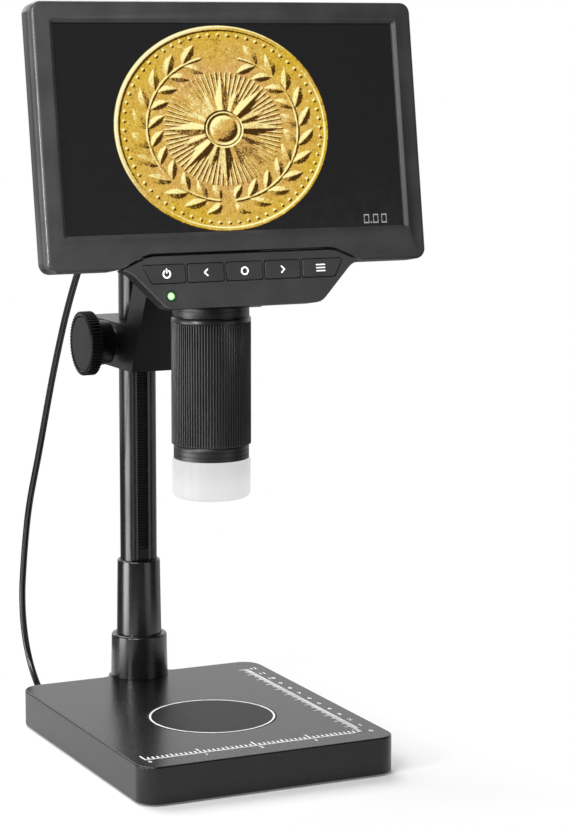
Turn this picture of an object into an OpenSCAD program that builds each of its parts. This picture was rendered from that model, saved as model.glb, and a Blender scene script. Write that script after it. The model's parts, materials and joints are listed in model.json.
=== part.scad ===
/* [Base] */
// Width of the base plate, left to right
base_w = 118; // [108:1:160]
// Depth of the base plate, front to back, without the tab under the post
base_d = 148; // [140:1:190]
// Height of the base's top face above the surface that it stands on
base_top = 17; // [16.5:0.5:24]
// Radius of the base's corners in plan
base_r = 9; // [5:0.5:14]
// Chamfer along the base's top edge
base_chamfer = 0.8; // [0.4:0.1:1.4]
// Thickness of the base housing's walls and top
base_wall = 2.5; // [2:0.1:3]
// Thickness of the bottom cover
cover_t = 2; // [1.6:0.1:2.4]
// How far the rubber feet stand below the cover
foot_h = 1; // [0.8:0.1:2]
// Radius of a rubber foot
foot_r = 6; // [4:0.5:8]

/* [Weigh pan] */
// Radius of the round weigh pan in the base's top face
pan_r = 27.9; // [22:0.1:32]
// Thickness of the pan's disc
pan_t = 2; // [1.6:0.1:2.4]
// Gap round the pan
pan_gap = 0.4; // [0.3:0.05:0.8]
// Distance of the pan's centre in front of the base's centre
pan_forward = 10.5; // [6:0.5:14]
// How far the pan sinks before its stop
pan_travel = 0.4; // [0.2:0.05:0.5]
// Thickness of the carrier plate under the pan
carrier_t = 1.4; // [1.2:0.1:1.6]

/* [Load cell] */
// Length of the load cell bar
cell_l = 47; // [40:1:55]
// Width of the load cell bar
cell_w = 12; // [10:0.5:14]
// Height of the load cell bar
cell_h = 6; // [5:0.5:6]
// Thickness of the spacer under the bar's fixed end
cell_lift = 1.4; // [1:0.1:1.6]

/* [Post] */
// Distance of the post's axis behind the base's centre
post_back = 73; // [70:0.5:76]
// Radius of the post
post_r = 8.45; // [8:0.05:8.7]
// Distance of the post's flat front from its axis
post_flat = 6; // [5.5:0.1:6.4]
// Height of the post's top above the surface
post_top = 236; // [225:1:320]
// Width of the rack's slot in the post
slot_w = 5; // [4.5:0.1:6]
// Depth of the rack's slot in the post
slot_d = 2.6; // [2.4:0.1:2.8]
// Radius of the lower collar at its foot
socket_r = 13.3; // [12:0.1:14]
// Height of the lower collar
socket_h = 20; // [16:0.5:26]
// Radius of the upper collar at its foot
sleeve_r = 10.35; // [9.6:0.05:11]
// Height of the upper collar above the lower one
sleeve_h = 35; // [28:0.5:40]
// How much each collar's radius shrinks towards its top
collar_taper = 0.5; // [0.2:0.05:0.6]

/* [Rack and pinion] */
// Module of the rack and the pinion
gear_m = 0.4; // [0.35:0.05:0.45]
// Teeth on the pinion
pinion_teeth = 18; // [16:1:20]
// Slack between the teeth
backlash = 0.12; // [0.08:0.01:0.16]
// Height of the focus shaft above the surface, as stored
focus_z = 175; // [168:1:190]
// How far the carriage slides down from there
travel_down = 85; // [60:1:86]
// How far the carriage slides up from there
travel_up = 24; // [10:1:30]
// Radius of the focus shaft
shaft_r = 2; // [1.8:0.1:2.2]

/* [Focus knobs] */
// Radius of a focus knob over its grip
knob_r = 14.5; // [12:0.1:17]
// Thickness of a knob's gripped rim
knob_t = 5.9; // [4.5:0.1:8]
// Distance of a knob's outer face from the middle of the part
knob_out = 31.1; // [28:0.1:34]
// Grip teeth round a knob
knob_grips = 56; // [40:2:64]

/* [Carriage] */
// Half the width of the slide block and the arm
arm_half = 14.5; // [14:0.1:18]
// Height of the slide block
block_h = 20.7; // [19:0.1:24]
// Height of the focus shaft above the block's underside
block_drop = 11.7; // [11:0.1:13]
// Distance of the block's back from the post's axis
block_back = 15; // [13:0.5:20]
// Lean of the arm's front from the vertical, in degrees
arm_lean = 26.5; // [22:0.5:30]
// Thickness of the arm under the head, front to back
arm_t = 17.2; // [15:0.2:22]
// Radial clearance of the plastic liners on the post
slide_fit = 0.08; // [0.05:0.01:0.1]

/* [Camera tube] */
// Height of the head's underside above the focus shaft
head_rise = 23.7; // [22:0.1:25]
// Radius of the head's boss round the tube
boss_r = 20; // [19:0.5:22]
// Height of the smooth collar between the head and the focus ring
collar_h = 5.1; // [4:0.1:6]
// Radius of that collar
collar_r = 16.3; // [16:0.05:16.6]
// Radius of the focus ring over its ribs
ring_r = 17.2; // [16.9:0.05:19]
// Height of the focus ring
ring_h = 55.4; // [50:0.2:60]
// Ribs round the focus ring
ring_ribs = 88; // [72:4:96]
// Depth of the grooves between the ribs
rib_d = 0.5; // [0.3:0.05:0.6]
// Height of the nose ring under the focus ring
nose_h = 6; // [5:0.1:8]
// Radius of the nose ring
nose_r = 16.05; // [15.8:0.05:16.4]
// Radius of the frosted light shade
shade_r = 16.95; // [16.8:0.05:18]
// Height of the light shade
shade_h = 18.3; // [15:0.1:24]
// Wall of the light shade
shade_wall = 1.6; // [1.3:0.1:1.7]
// Outer radius of the fixed camera barrel
barrel_r = 14.5; // [14.3:0.1:14.7]
// Inner radius of the fixed camera barrel
barrel_bore = 13; // [12.6:0.1:13.2]
// Number of lamps round the lens
lamp_count = 8; // [6:1:10]

/* [Display] */
// Width of the picture
picture_w = 154.1; // [150:0.1:160]
// Height of the picture
picture_h = 85.9; // [84:0.1:92]
// Width of the case beside the picture
side_border = 9.45; // [9:0.05:14]
// Height of the case above the picture
top_border = 9.25; // [8.8:0.05:14]
// Height of the case below the picture
foot_border = 14.95; // [14.5:0.05:18]
// Radius of the case's corners
display_r = 4.5; // [4:0.5:6]
// Thickness of the case
display_t = 17; // [16:0.5:20]
// Depth of the front bezel
bezel_t = 5; // [4.5:0.1:6]
// Rounding of the bezel's front edge
bezel_edge = 1.6; // [1:0.1:2]
// Wall thickness of the display's case
case_wall = 2; // [1.6:0.1:2.2]
// Lean of the screen from the vertical, in degrees
screen_tilt = 9; // [6:0.5:12]
// Height of the case's foot above the head's underside
case_rise = 19.41; // [19:0.01:21]
// Distance of the case's foot in front of the base's centre
case_forward = 44.36; // [44:0.01:48]
// Distance of the tilt hinge up the case from its foot
hinge_up = 17.9; // [16:0.1:20]
// Distance of the tilt hinge behind the case
hinge_back = 5; // [4.8:0.1:6]

/* [Control panel] */
// Half the width of the panel from tip to tip
panel_half = 54; // [52:0.5:56]
// Half the length of the panel's top edge
panel_top_half = 42; // [40:0.5:44]
// Half the length of the panel's bottom edge, before rounding
panel_foot_half = 34.9; // [33:0.1:38]
// Height of the panel from its top edge to its bottom edge
panel_h = 21.9; // [21:0.1:24]
// Height of the display's notch over the panel
notch_rise = 6.3; // [5.8:0.1:7]
// Width of the seam between the display and the panel
seam = 1.2; // [1:0.1:1.6]
// Thickness of the panel's face
fascia_t = 2; // [1.6:0.1:2.4]
// Depth of the tray behind the panel's face
tray_t = 7; // [6.6:0.1:8]
// Height of a button
button_h = 7.5; // [6:0.1:8]
// Travel of a button
button_travel = 0.8; // [0.5:0.1:0.9]
// Gap round a button
button_gap = 0.3; // [0.25:0.05:0.4]
// Radius of the status lamp
lamp_r = 1.6; // [1.2:0.1:2]

/* [Link cable] */
// Diameter of the cable between the head and the base
cable_d = 3; // [2.5:0.1:3.5]

/* [Hidden] */

$fn = 64;
eps = 0.05;
free_gap = 0.3;
arc_steps = 4;
soft_steps = 3;

// Base, placed so that the whole object's depth is centred on y = 0
tab_r = socket_r + 1.1;
base_y = (base_d / 2 - post_back - max(block_back, tab_r)) / 2;
back_y = base_y + base_d / 2;
post_y = base_y + post_back;
base_floor = foot_h;
cover_top = base_floor + cover_t;
cover_gap = 0.3;
tab_fillet = 5;
screw_r = 1.25;
screw_head_r = 2.4;
screw_head_h = 1.2;
screw_boss_r = 3.4;
screw_fit = 0.05;
foot_inset = 14;
screw_inset = 7;

// Weigh pan
pan_y = base_y - pan_forward;
cell_z = cover_top + cell_lift;
cell_slot_r = 1.9;
carrier_boss_r = 5;
carrier_z = base_top - pan_t - carrier_t - 1.2;
carrier_r = pan_r - 4;
boss_z = cell_z + cell_h + pan_travel + 0.1;

// Post
post_foot = base_floor + 6;
post_bolt_r = 2.5;
bolt_head_r = 4.5;
bolt_head_h = 3;
bolt_grip = 17;
socket_top = base_top + socket_h;
sleeve_seat = 2;
sleeve_top = socket_top + sleeve_h;
flat_y = post_y - post_flat;
seat_fit = 0.1;
slot_floor = flat_y + slot_d;

// Rack and pinion
tooth_pitch = PI * gear_m;
pitch_r = gear_m * pinion_teeth / 2;
rack_sink = 0.6;
pitch_y = flat_y + rack_sink + gear_m;
rack_margin = 12;
rack_start = focus_z - travel_down - rack_margin;
rack_foot = rack_start - 18;
rack_teeth = floor((post_top - 4 - rack_start) / tooth_pitch);
flank = tan(20);
focus_y = pitch_y - pitch_r;
pinion_w = slot_w - 1;
phase_z = focus_z - rack_start;

// Carriage
block_low = focus_z - block_drop;
block_top = block_low + block_h;
bore_r = post_r + 1.35;
liner_h = 3.6;
bush_r = 3.55;
bush_flange_r = 6;
bush_flange_t = 2.4;
head_floor = focus_z + head_rise;
head_h = 19.3;
head_top = head_floor + head_h;
head_cover_t = 2.4;
head_wall = 2.2;
arm_foot_y = focus_y - 19.8;
arm_head_y = arm_foot_y - (head_floor - block_low) * tan(arm_lean);
arm_rear_y = arm_head_y + arm_t;
arm_rear_lean = arm_lean - 3.7;
arm_rear_foot = arm_rear_y + (head_floor - block_top) * tan(arm_rear_lean);
arm_rear_top = arm_rear_y - head_h * tan(arm_rear_lean);

// Screen frame: u to the right, v up the screen, depth behind its front face
display_w = picture_w + 2 * side_border;
display_up = picture_h / 2 + top_border;
display_down = picture_h / 2 + foot_border;
screen_y = base_y - case_forward + display_down * sin(screen_tilt);
screen_z = head_floor + case_rise + display_down * cos(screen_tilt);
function plane_y(v, depth) = screen_y + v * sin(screen_tilt) + depth * cos(screen_tilt);
function plane_z(v, depth) = screen_z + v * cos(screen_tilt) - depth * sin(screen_tilt);
hinge_depth = display_t + hinge_back;
hinge_v = hinge_up - display_down;
hinge_y = plane_y(hinge_v, hinge_depth);
hinge_z = plane_z(hinge_v, hinge_depth);
hinge_pin_r = 2;
knuckle_r = 4.5;
knuckle_half = 12;
ear_w = 5;

// Camera tube
tube_y = pan_y;
ring_top = head_floor - collar_h;
ring_low = ring_top - ring_h;
nose_low = ring_low - nose_h;
shade_low = nose_low - shade_h + 0.1;
ring_gap = 0.2;
barrel_low = nose_low - 1.5;
lens_slide = 3.4;
lens_low = ring_low + 6;
carrier_len = 26;
lens_r = 8;
lens_fit = 0.08;
drive_pin_r = 1.2;
drive_pin_z = lens_low + 18;
lamp_ring_r = 11;

// Display
window_w = picture_w + 0.6;
window_h = picture_h + 0.6;
window_bevel = 1.8;
window_sink = 1;
lip_t = 2.2;
glass_t = 1.1;
lcd_t = 4;
lcd_w = picture_w + 7.9;
lcd_h = picture_h + 11.1;
board_w = display_w - 48;
board_h = display_up + display_down - 50;
pack_w = 30;
pack_u = 9.5 + pack_w / 2 - display_w / 2;
bolt_u = display_w / 2 - 16.5;
side_port_v = -8;
card_slot_v = 14;
rear_inset = display_r - case_wall - 0.1;
rear_straight = 11;
notch_top_half = panel_top_half + 0.6;
notch_foot_half = panel_half + 2.4;
notch_lean = atan2(notch_rise, notch_foot_half - notch_top_half);
board_depth = lip_t + glass_t + lcd_t + 1.2;

// Control panel
panel_top = -display_down + notch_rise - seam;
panel_foot = panel_top - panel_h;
shoulder_u = panel_half - 3.8;
shoulder_v = -display_down - 1;
panel_back = fascia_t + tray_t;
button_top = panel_top - 3.6;
button_low = button_top - button_h;
button_proud = 0.5;
key_board_depth = panel_back - 3.4;
key_board_t = 1.4;
switch_h = 0.75;
status_u = -33.7;
status_v = panel_foot + 5.4;
// Left and right end of each button on the panel, and the slant of its sides
power_span = [-45.8, -26.9, 4.2, 0];
left_span = [-25.5, -9.5, 0, 0];
ok_span = [-8, 8, 0, 0];
right_span = [9.5, 25.5, 0, 0];
menu_span = [26.9, 45.8, 0, 4.2];

// Link cable: its route from the head's plug to the base's plug
port_y = base_y + 14;
port_z = head_top + 5;
port_x = 17 - base_w / 2;
base_port_z = 8.5;
board_low = base_port_z - 3.3;
plug_back = back_y + 15;
cable_route = [[-38.2, 7, 223], [-41.5, 7.1, 222.9], [-45.2, 9, 220], [-47.5, 13, 215],
               [-48, 17, 210], [-48, 27, 197], [-47.5, 37.5, 183], [-47, 52, 160], [-46.5, 71, 125],
               [-46, 88, 94], [-45.5, 98, 62], [port_x - 3, back_y + 33.5, 45],
               [port_x - 2, back_y + 33, 31], [port_x - 1, back_y + 29.5, 20],
               [port_x - 0.3, back_y + 24, 12.5], [port_x, back_y + 19.5, 9.2],
               [port_x, back_y + 15, 8.5]];

// ---- Shared forms ----

// Places a shape drawn in u, v and height in front of the screen's face
module on_screen() translate([0, screen_y, screen_z]) rotate([90 - screen_tilt, 0, 0]) children();

// Places an outline on the screen plane, from one depth to another behind the face
module behind_face(near, far) on_screen() translate([0, 0, -far]) linear_extrude(far - near) children();

// Extrudes a side profile drawn in y and z, centred on the middle of the part
module side_extrude(w) rotate([90, 0, 90]) linear_extrude(w, center = true) children();

// Round bars across the part, centred on the tilt hinge and on the focus shaft
module cross_bar(y, z, r, l) translate([0, y, z]) rotate([0, 90, 0]) cylinder(r = r, h = l, center = true);
module hinge_bar(r, l) cross_bar(hinge_y, hinge_z, r, l);
module shaft_bar(r, l) cross_bar(focus_y, focus_z, r, l);

module rounded_rect(w, d, r) {
    square([w - 2 * r, d], center = true);
    square([w, d - 2 * r], center = true);
    for (x = [-1, 1], y = [-1, 1]) translate([x * (w / 2 - r), y * (d / 2 - r)]) circle(r);
}

function unit(v) = v / norm(v);

// Points of the arc that rounds corner b between a and c
function corner_arc(a, b, c, r) =
    let (u = unit(a - b), w = unit(c - b), half = acos(u * w) / 2, m = b + unit(u + w) * r / sin(half),
         p = b + u * r / tan(half) - m, q = b + w * r / tan(half) - m,
         start = atan2(p[1], p[0]), turn = atan2(q[1], q[0]) - start,
         sweep = abs(turn) > 180 ? turn - 360 * sign(turn) : turn)
    [for (k = [0:arc_steps]) let (a = start + sweep * k / arc_steps) m + r * [cos(a), sin(a)]];

function rounded(pts, radii) = let (n = len(pts))
    [for (i = [0:n - 1]) each corner_arc(pts[(i + n - 1) % n], pts[i], pts[(i + 1) % n], radii[i])];

// Edge of a slab as pairs of inset and height: a rounding of radius e at the top of height h
function round_edge(h, e, steps) = concat([[0, 0]],
    [for (k = [0:steps]) [e - e * cos(90 * k / steps), h - e + e * sin(90 * k / steps)]]);

module edge_profile(w, edge) polygon(concat([for (p = edge) [w / 2 - p[0], p[1]]],
    [for (k = [len(edge) - 1:-1:0]) [edge[k][0] - w / 2, edge[k][1]]]));

module corner_post(r, edge) rotate_extrude()
    polygon(concat([[0, 0]], [for (p = edge) [r - p[0], p[1]]], [[0, edge[len(edge) - 1][1]]]));

// A slab with round corners in plan, whose four sides follow one edge profile
module soft_slab(w, d, r, edge) {
    for (x = [-1, 1], y = [-1, 1]) translate([x * (w / 2 - r), y * (d / 2 - r), 0]) corner_post(r, edge);
    rotate([90, 0, 90]) linear_extrude(w - 2 * r, center = true) edge_profile(d, edge);
    rotate([90, 0, 0]) linear_extrude(d - 2 * r, center = true) edge_profile(w, edge);
}

module handed(s) if (s > 0) children(); else mirror([1, 0, 0]) children();

// A ring-shaped outline of teeth: count teeth between two radii
module toothed_outline(r_out, r_in, count, top_share, foot_share)
    polygon([for (i = [0:count - 1], c = [[-foot_share, r_in], [-top_share, r_out], [top_share, r_out],
                                          [foot_share, r_in]])
             let (a = 360 / count * (i + c[0])) c[1] * [cos(a), sin(a)]]);

// A tube swept along points, with its rings square to the path
function path_side(p, i) = let (n = len(p) - 1) unit(p[min(i + 1, n)] - p[max(i - 1, 0)]);
function ring_at(p, i, r, sides) =
    let (t = path_side(p, i), s = unit(cross(t, [0, 1, 0.2])), q = cross(s, t))
    [for (k = [0:sides - 1]) p[i] + r * (cos(360 * k / sides) * s + sin(360 * k / sides) * q)];
module swept_tube(p, r, sides) {
    last = len(p) - 1;
    polyhedron(
        points = [for (i = [0:last]) each ring_at(p, i, r, sides)],
        faces = concat([[for (k = [0:sides - 1]) k]],
                       [for (i = [0:last - 1], k = [0:sides - 1])
                        [i * sides + k, (i + 1) * sides + k, (i + 1) * sides + (k + 1) % sides,
                         i * sides + (k + 1) % sides]],
                       [[for (k = [sides - 1:-1:0]) last * sides + k]]));
}

// Points of a smooth curve through the route, with equal parts between its points
function curve_point(a, b, c, d, t) =
    0.5 * (2 * b + (c - a) * t + (2 * a - 5 * b + 4 * c - d) * t * t + (3 * b - a - 3 * c + d) * t * t * t);
function smooth_route(p, parts) = let (n = len(p) - 1)
    concat([for (i = [0:n - 1], k = [0:parts - 1])
            curve_point(p[max(i - 1, 0)], p[i], p[i + 1], p[min(i + 2, n)], k / parts)], [p[n]]);

// ---- Base ----

module base_outline(inset) {
    translate([0, base_y]) rounded_rect(base_w - 2 * inset, base_d - 2 * inset, base_r - inset);
    translate([0, post_y]) circle(tab_r - inset);
}

// The hollow corners where the tab under the post runs into the back edge
module tab_fillets() {
    far_y = back_y + tab_fillet;
    far_x = sqrt(pow(tab_r + tab_fillet, 2) - pow(far_y - post_y, 2));
    near = [0, post_y] + tab_r / (tab_r + tab_fillet) * [far_x, far_y - post_y];
    high = base_top - base_floor;
    for (s = [-1, 1]) handed(s) difference() {
        linear_extrude(high)
            polygon([[0, back_y - 1], [far_x, back_y - 1], [far_x, back_y], near, [0, near[1]]]);
        translate([far_x, far_y, 0]) rotate_extrude()
            polygon(concat([[0, -1], [tab_fillet + eps, -1]],
                           [for (p = base_edge) [tab_fillet + eps + p[0], p[1]]],
                           [[tab_fillet + eps + base_chamfer, high + 1], [0, high + 1]]));
    }
}

function cover_screw_places() =
    [for (x = [-1, 1], y = [-1, 0, 1])
     [x * (base_w / 2 - screw_inset), base_y + y * (base_d / 2 - screw_inset)]];
function foot_places() =
    [for (x = [-1, 1], y = [-1, 1])
     [x * (base_w / 2 - foot_inset), base_y + y * (base_d / 2 - foot_inset)]];

base_edge = round_edge(base_top - base_floor, base_chamfer, 2);

module base_housing() color([0.09, 0.09, 0.095]) difference() {
    union() {
        difference() {
            translate([0, 0, base_floor]) union() {
                translate([0, base_y, 0]) soft_slab(base_w, base_d, base_r, base_edge);
                translate([0, post_y, 0]) corner_post(tab_r, base_edge);
                tab_fillets();
            }
            translate([0, 0, base_floor - eps])
                linear_extrude(base_top - base_wall - base_floor + eps) base_outline(base_wall);
        }
        for (p = cover_screw_places()) translate([p[0], p[1], cover_top])
            cylinder(r = screw_boss_r, h = base_top - base_wall - cover_top);
        translate([0, post_y, cover_top]) cylinder(r = tab_r - 0.5, h = base_top - 1 - cover_top);
    }
    translate([0, pan_y, 0]) cylinder(r = pan_r + pan_gap, h = base_top + 1);
    for (p = cover_screw_places()) translate([p[0], p[1], 0]) cylinder(r = screw_r + screw_fit, h = 11);
    translate([0, post_y, post_foot]) cylinder(r = post_r + seat_fit, h = base_top);
    translate([0, post_y, 0]) cylinder(r = post_bolt_r + 0.3, h = base_top);
    translate([port_x, back_y, base_port_z]) rotate([90, 0, 0])
        linear_extrude(12, center = true) rounded_rect(10.4, 4.7, 2.3);
}

module bottom_cover() color([0.07, 0.07, 0.075]) difference() {
    union() {
        translate([0, 0, base_floor]) linear_extrude(cover_t) base_outline(base_wall + cover_gap);
        for (x = [-2, 11]) translate([port_x + x, back_y - 24, cover_top])
            cylinder(r = 2.5, h = board_low - cover_top);
    }
    for (p = cover_screw_places()) translate([p[0], p[1], 0]) {
        cylinder(r = screw_r + 0.2, h = 10);
        cylinder(r = screw_head_r + 0.15, h = base_floor + screw_head_h + 0.1);
    }
    for (p = cell_screw_places(-1)) translate([p[0], p[1], 0]) {
        cylinder(r = screw_r + 0.2, h = 10);
        cylinder(r = screw_head_r + 0.15, h = base_floor + screw_head_h);
    }
    translate([0, post_y, 0]) cylinder(r = bolt_head_r + 0.6, h = 10);
}

module rubber_feet() color([0.03, 0.03, 0.03]) for (p = foot_places())
    translate([p[0], p[1], 0]) rotate_extrude()
        polygon([[0, 0], [foot_r - 0.6, 0], [foot_r, foot_h - 0.2], [foot_r, foot_h], [0, foot_h]]);

module screw(head_r, head_h, r, length) {
    difference() {
        cylinder(r = head_r, h = head_h);
        translate([0, 0, -eps]) cylinder(r = head_r * 0.45, h = head_h * 0.6, $fn = 6);
    }
    cylinder(r = r, h = length);
}

module cover_screws() color([0.5, 0.5, 0.5]) for (p = cover_screw_places())
    translate([p[0], p[1], base_floor + 0.1]) screw(screw_head_r, screw_head_h, screw_r, 9);

// ---- Weighing parts ----

function cell_screw_places(end) =
    [for (x = [-1, 1]) [x * 3, pan_y + end * (cell_l / 2 - 5.5)]];

module weigh_pan() color([0.05, 0.05, 0.055]) translate([0, pan_y, 0]) difference() {
    union() {
        translate([0, 0, base_top - pan_t]) cylinder(r = pan_r, h = pan_t, $fn = 128);
        translate([0, 0, carrier_z + carrier_t])
            cylinder(r = carrier_r, h = base_top - 1 - carrier_z - carrier_t);
    }
    translate([0, 0, carrier_z]) cylinder(r = carrier_r - 2, h = base_top - pan_t - carrier_z);
}

module pan_carrier() color([0.6, 0.6, 0.62]) {
    translate([0, pan_y, carrier_z]) difference() {
        cylinder(r = carrier_r, h = carrier_t);
        for (a = [30:60:330]) rotate([0, 0, a]) translate([carrier_r * 0.62, 0, -1])
            cylinder(r = 4.5, h = 5);
    }
    translate([0, pan_y + cell_l / 2 - 5.5, boss_z])
        cylinder(r = carrier_boss_r, h = carrier_z - boss_z + eps);
}

module load_cell() color([0.78, 0.79, 0.8]) difference() {
    translate([-cell_w / 2, pan_y - cell_l / 2, cell_z]) cube([cell_w, cell_l, cell_h]);
    for (y = [-4.5, 4.5]) translate([0, pan_y + y, cell_z + cell_h / 2]) rotate([0, 90, 0])
        cylinder(r = cell_slot_r, h = cell_w + 2, center = true);
    translate([0, pan_y, cell_z + cell_h / 2]) cube([cell_w + 2, 9, 1.2], center = true);
    for (p = cell_screw_places(-1)) translate([p[0], p[1], 0]) cylinder(r = screw_r + screw_fit, h = 20);
}

module cell_spacer() color([0.6, 0.6, 0.62]) difference() {
    translate([-cell_w / 2, pan_y - cell_l / 2, cover_top]) cube([cell_w, 11, cell_lift]);
    for (p = cell_screw_places(-1)) translate([p[0], p[1], 0]) cylinder(r = screw_r + 0.2, h = 20);
}

module cell_screws() color([0.5, 0.5, 0.5]) for (p = cell_screw_places(-1))
    translate([p[0], p[1], base_floor + 0.1])
        screw(screw_head_r, screw_head_h - 0.1, screw_r, cell_z - base_floor + 4);

module scale_board() color([0.05, 0.25, 0.12]) {
    translate([port_x - 5.5, back_y - 34, board_low]) cube([20, 30, 1.5]);
    translate([port_x - 3, back_y - 28, board_low + 1.5]) cube([7, 7, 1]);
    translate([port_x + 6, back_y - 31, board_low + 1.5]) cube([5, 4, 3]);
}

// A socket's metal shell along x, open at x = 0 and closed at its far end
module socket_shell(l) rotate([90, 0, 90]) difference() {
    linear_extrude(l) rounded_rect(9, 3.3, 1.6);
    translate([0, 0, -eps]) linear_extrude(l - 1) rounded_rect(8.4, 2.7, 1.3);
}

module link_socket() color([0.7, 0.7, 0.72])
    translate([port_x, back_y - 1.5, base_port_z]) rotate([0, 0, -90]) socket_shell(7.4);

// ---- Post ----

module lower_collar() color([0.08, 0.08, 0.085]) translate([0, post_y, base_top]) difference() {
    rotate_extrude() polygon([[0, 0], [socket_r, 0], [socket_r - collar_taper, socket_h - 0.6],
                              [socket_r - collar_taper - 0.6, socket_h], [0, socket_h]]);
    translate([0, 0, -eps]) cylinder(r = post_r + seat_fit, h = socket_h + 1);
    translate([0, 0, socket_h - sleeve_seat]) cylinder(r = sleeve_r + seat_fit, h = sleeve_seat + 1);
}

module upper_collar() color([0.08, 0.08, 0.085])
translate([0, post_y, socket_top - sleeve_seat]) difference() {
    rotate_extrude() polygon([[0, 0], [sleeve_r, 0], [sleeve_r, sleeve_seat],
                              [sleeve_r - collar_taper, sleeve_h + sleeve_seat - 0.4],
                              [sleeve_r - collar_taper - 0.4, sleeve_h + sleeve_seat],
                              [0, sleeve_h + sleeve_seat]]);
    translate([0, 0, -eps]) cylinder(r = post_r + seat_fit, h = sleeve_h + sleeve_seat + 1);
}

module post_profile() difference() {
    circle(post_r);
    translate([-post_r, -post_r - post_flat]) square([2 * post_r, post_r]);
    translate([-slot_w / 2, -post_flat - 1]) square([slot_w, slot_d + 1]);
    for (s = [-1, 1]) translate([s * 4.1 - 0.3, -post_flat - 1]) square([0.6, 1.5]);
    circle(post_bolt_r);
    for (a = [20, 160]) rotate([0, 0, a]) translate([5.2, 0]) circle(1.7);
}

module post() color([0.1, 0.1, 0.105]) translate([0, post_y, post_foot])
    linear_extrude(post_top - post_foot) post_profile();

function rack_points() =
    let (root_y = pitch_y + 1.2 * gear_m, tip_y = pitch_y - gear_m, half = tooth_pitch / 4 - backlash / 2,
         foot = half + 1.2 * gear_m * flank, tip = half - gear_m * flank)
    [for (i = [0:rack_teeth - 1], c = [[root_y, -foot], [tip_y, -tip], [tip_y, tip], [root_y, foot]])
     [c[0], rack_start + (i + 0.5 + phase_shift) * tooth_pitch + c[1]]];
// Puts a gap of the rack level with the focus shaft
phase_shift = phase_z / tooth_pitch - floor(phase_z / tooth_pitch);

module rack() color([0.13, 0.13, 0.135]) side_extrude(slot_w - 0.1)
    polygon(concat([[slot_floor - eps, post_top - 0.5], [slot_floor - eps, rack_foot],
                    [flat_y + 0.2, rack_foot], [flat_y + 0.2, rack_start - tooth_pitch / 2],
                    [pitch_y + 1.2 * gear_m, rack_start - tooth_pitch / 2]],
                   rack_points(), [[pitch_y + 1.2 * gear_m, post_top - 0.5]]));

module post_cap() color([0.06, 0.06, 0.065]) translate([0, post_y, post_top]) {
    rotate_extrude() polygon([[0, 0], [post_r + 0.3, 0], [post_r + 0.3, 1.6], [post_r - 0.6, 2.6], [0, 3]]);
    translate([0, 0, -6]) cylinder(r = post_bolt_r - 0.05, h = 6 + eps);
}

module post_bolt() color([0.5, 0.5, 0.5]) translate([0, post_y, cover_top - bolt_head_h + 1])
    screw(bolt_head_r, bolt_head_h - 1, post_bolt_r - 0.05, bolt_grip);

// ---- Link cable ----

module link_cable() color([0.04, 0.04, 0.04]) swept_tube(smooth_route(cable_route, 3), cable_d / 2, 8);

// A plug's moulded grip and tapered relief along -x, with its metal tongue along +x
module plug_form(grip_l, relief_l, tongue_l) {
    rotate([90, 0, 90]) {
        translate([0, 0, -grip_l]) linear_extrude(grip_l) rounded_rect(11, 6.4, 2.4);
        linear_extrude(tongue_l) rounded_rect(8, 2.3, 1.1);
    }
    translate([-grip_l, 0, 0]) rotate([0, -90, 0]) rotate_extrude()
        polygon([[0, 0], [3, 0], [2.2, relief_l], [0, relief_l]]);
}

module head_socket() color([0.7, 0.7, 0.72]) translate([1 - arm_half, port_y, port_z]) socket_shell(7.4);

module head_plug() color([0.05, 0.05, 0.05]) translate([-arm_half - free_gap, port_y, port_z])
    plug_form(cable_grip, cable_relief, 5);
cable_grip = 15;
cable_relief = 38 - arm_half - free_gap - cable_grip;

module base_plug() color([0.05, 0.05, 0.05]) translate([port_x, back_y + free_gap, base_port_z])
    rotate([0, 0, -90]) plug_form(9, plug_back - back_y - free_gap - 9, 5.6);

// ---- Head and carriage ----

function head_profile() = [
    [post_y + block_back, block_low], [arm_foot_y, block_low], [arm_head_y, head_floor],
    [tube_y - boss_r + 1, head_floor],
    [plane_y(panel_foot + 1.2, panel_back - 0.5), plane_z(panel_foot + 1.2, panel_back - 0.5)],
    [plane_y(panel_top - 1.2, panel_back - 0.5), plane_z(panel_top - 1.2, panel_back - 0.5)],
    [tube_y - boss_r + 5, head_top], [arm_rear_top, head_top], [arm_rear_y, head_floor],
    [arm_rear_foot, block_top], [post_y + block_back, block_top]];

function panel_outline() = rounded(
    [[-panel_half, -display_down], [-panel_top_half, panel_top], [panel_top_half, panel_top],
     [panel_half, -display_down], [shoulder_u, shoulder_v], [panel_foot_half, panel_foot],
     [-panel_foot_half, panel_foot], [-shoulder_u, shoulder_v]],
    [0.4, 12, 12, 0.4, 8, 7, 7, 8]);

function tray_cavity() =
    let (h = [[panel_top_half - 0.2, panel_top - 1], [shoulder_u - 0.3, shoulder_v + 1.6],
              [shoulder_u - 1.6, shoulder_v + 0.5], [panel_foot_half - 1.2, panel_foot + 1.8]])
    concat(h, [for (i = [len(h) - 1:-1:0]) [-h[i][0], h[i][1]]]);

function key_posts() = [[-34, button_top - 1], [34, button_top - 1], [-27, status_v], [27, status_v]];

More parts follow.
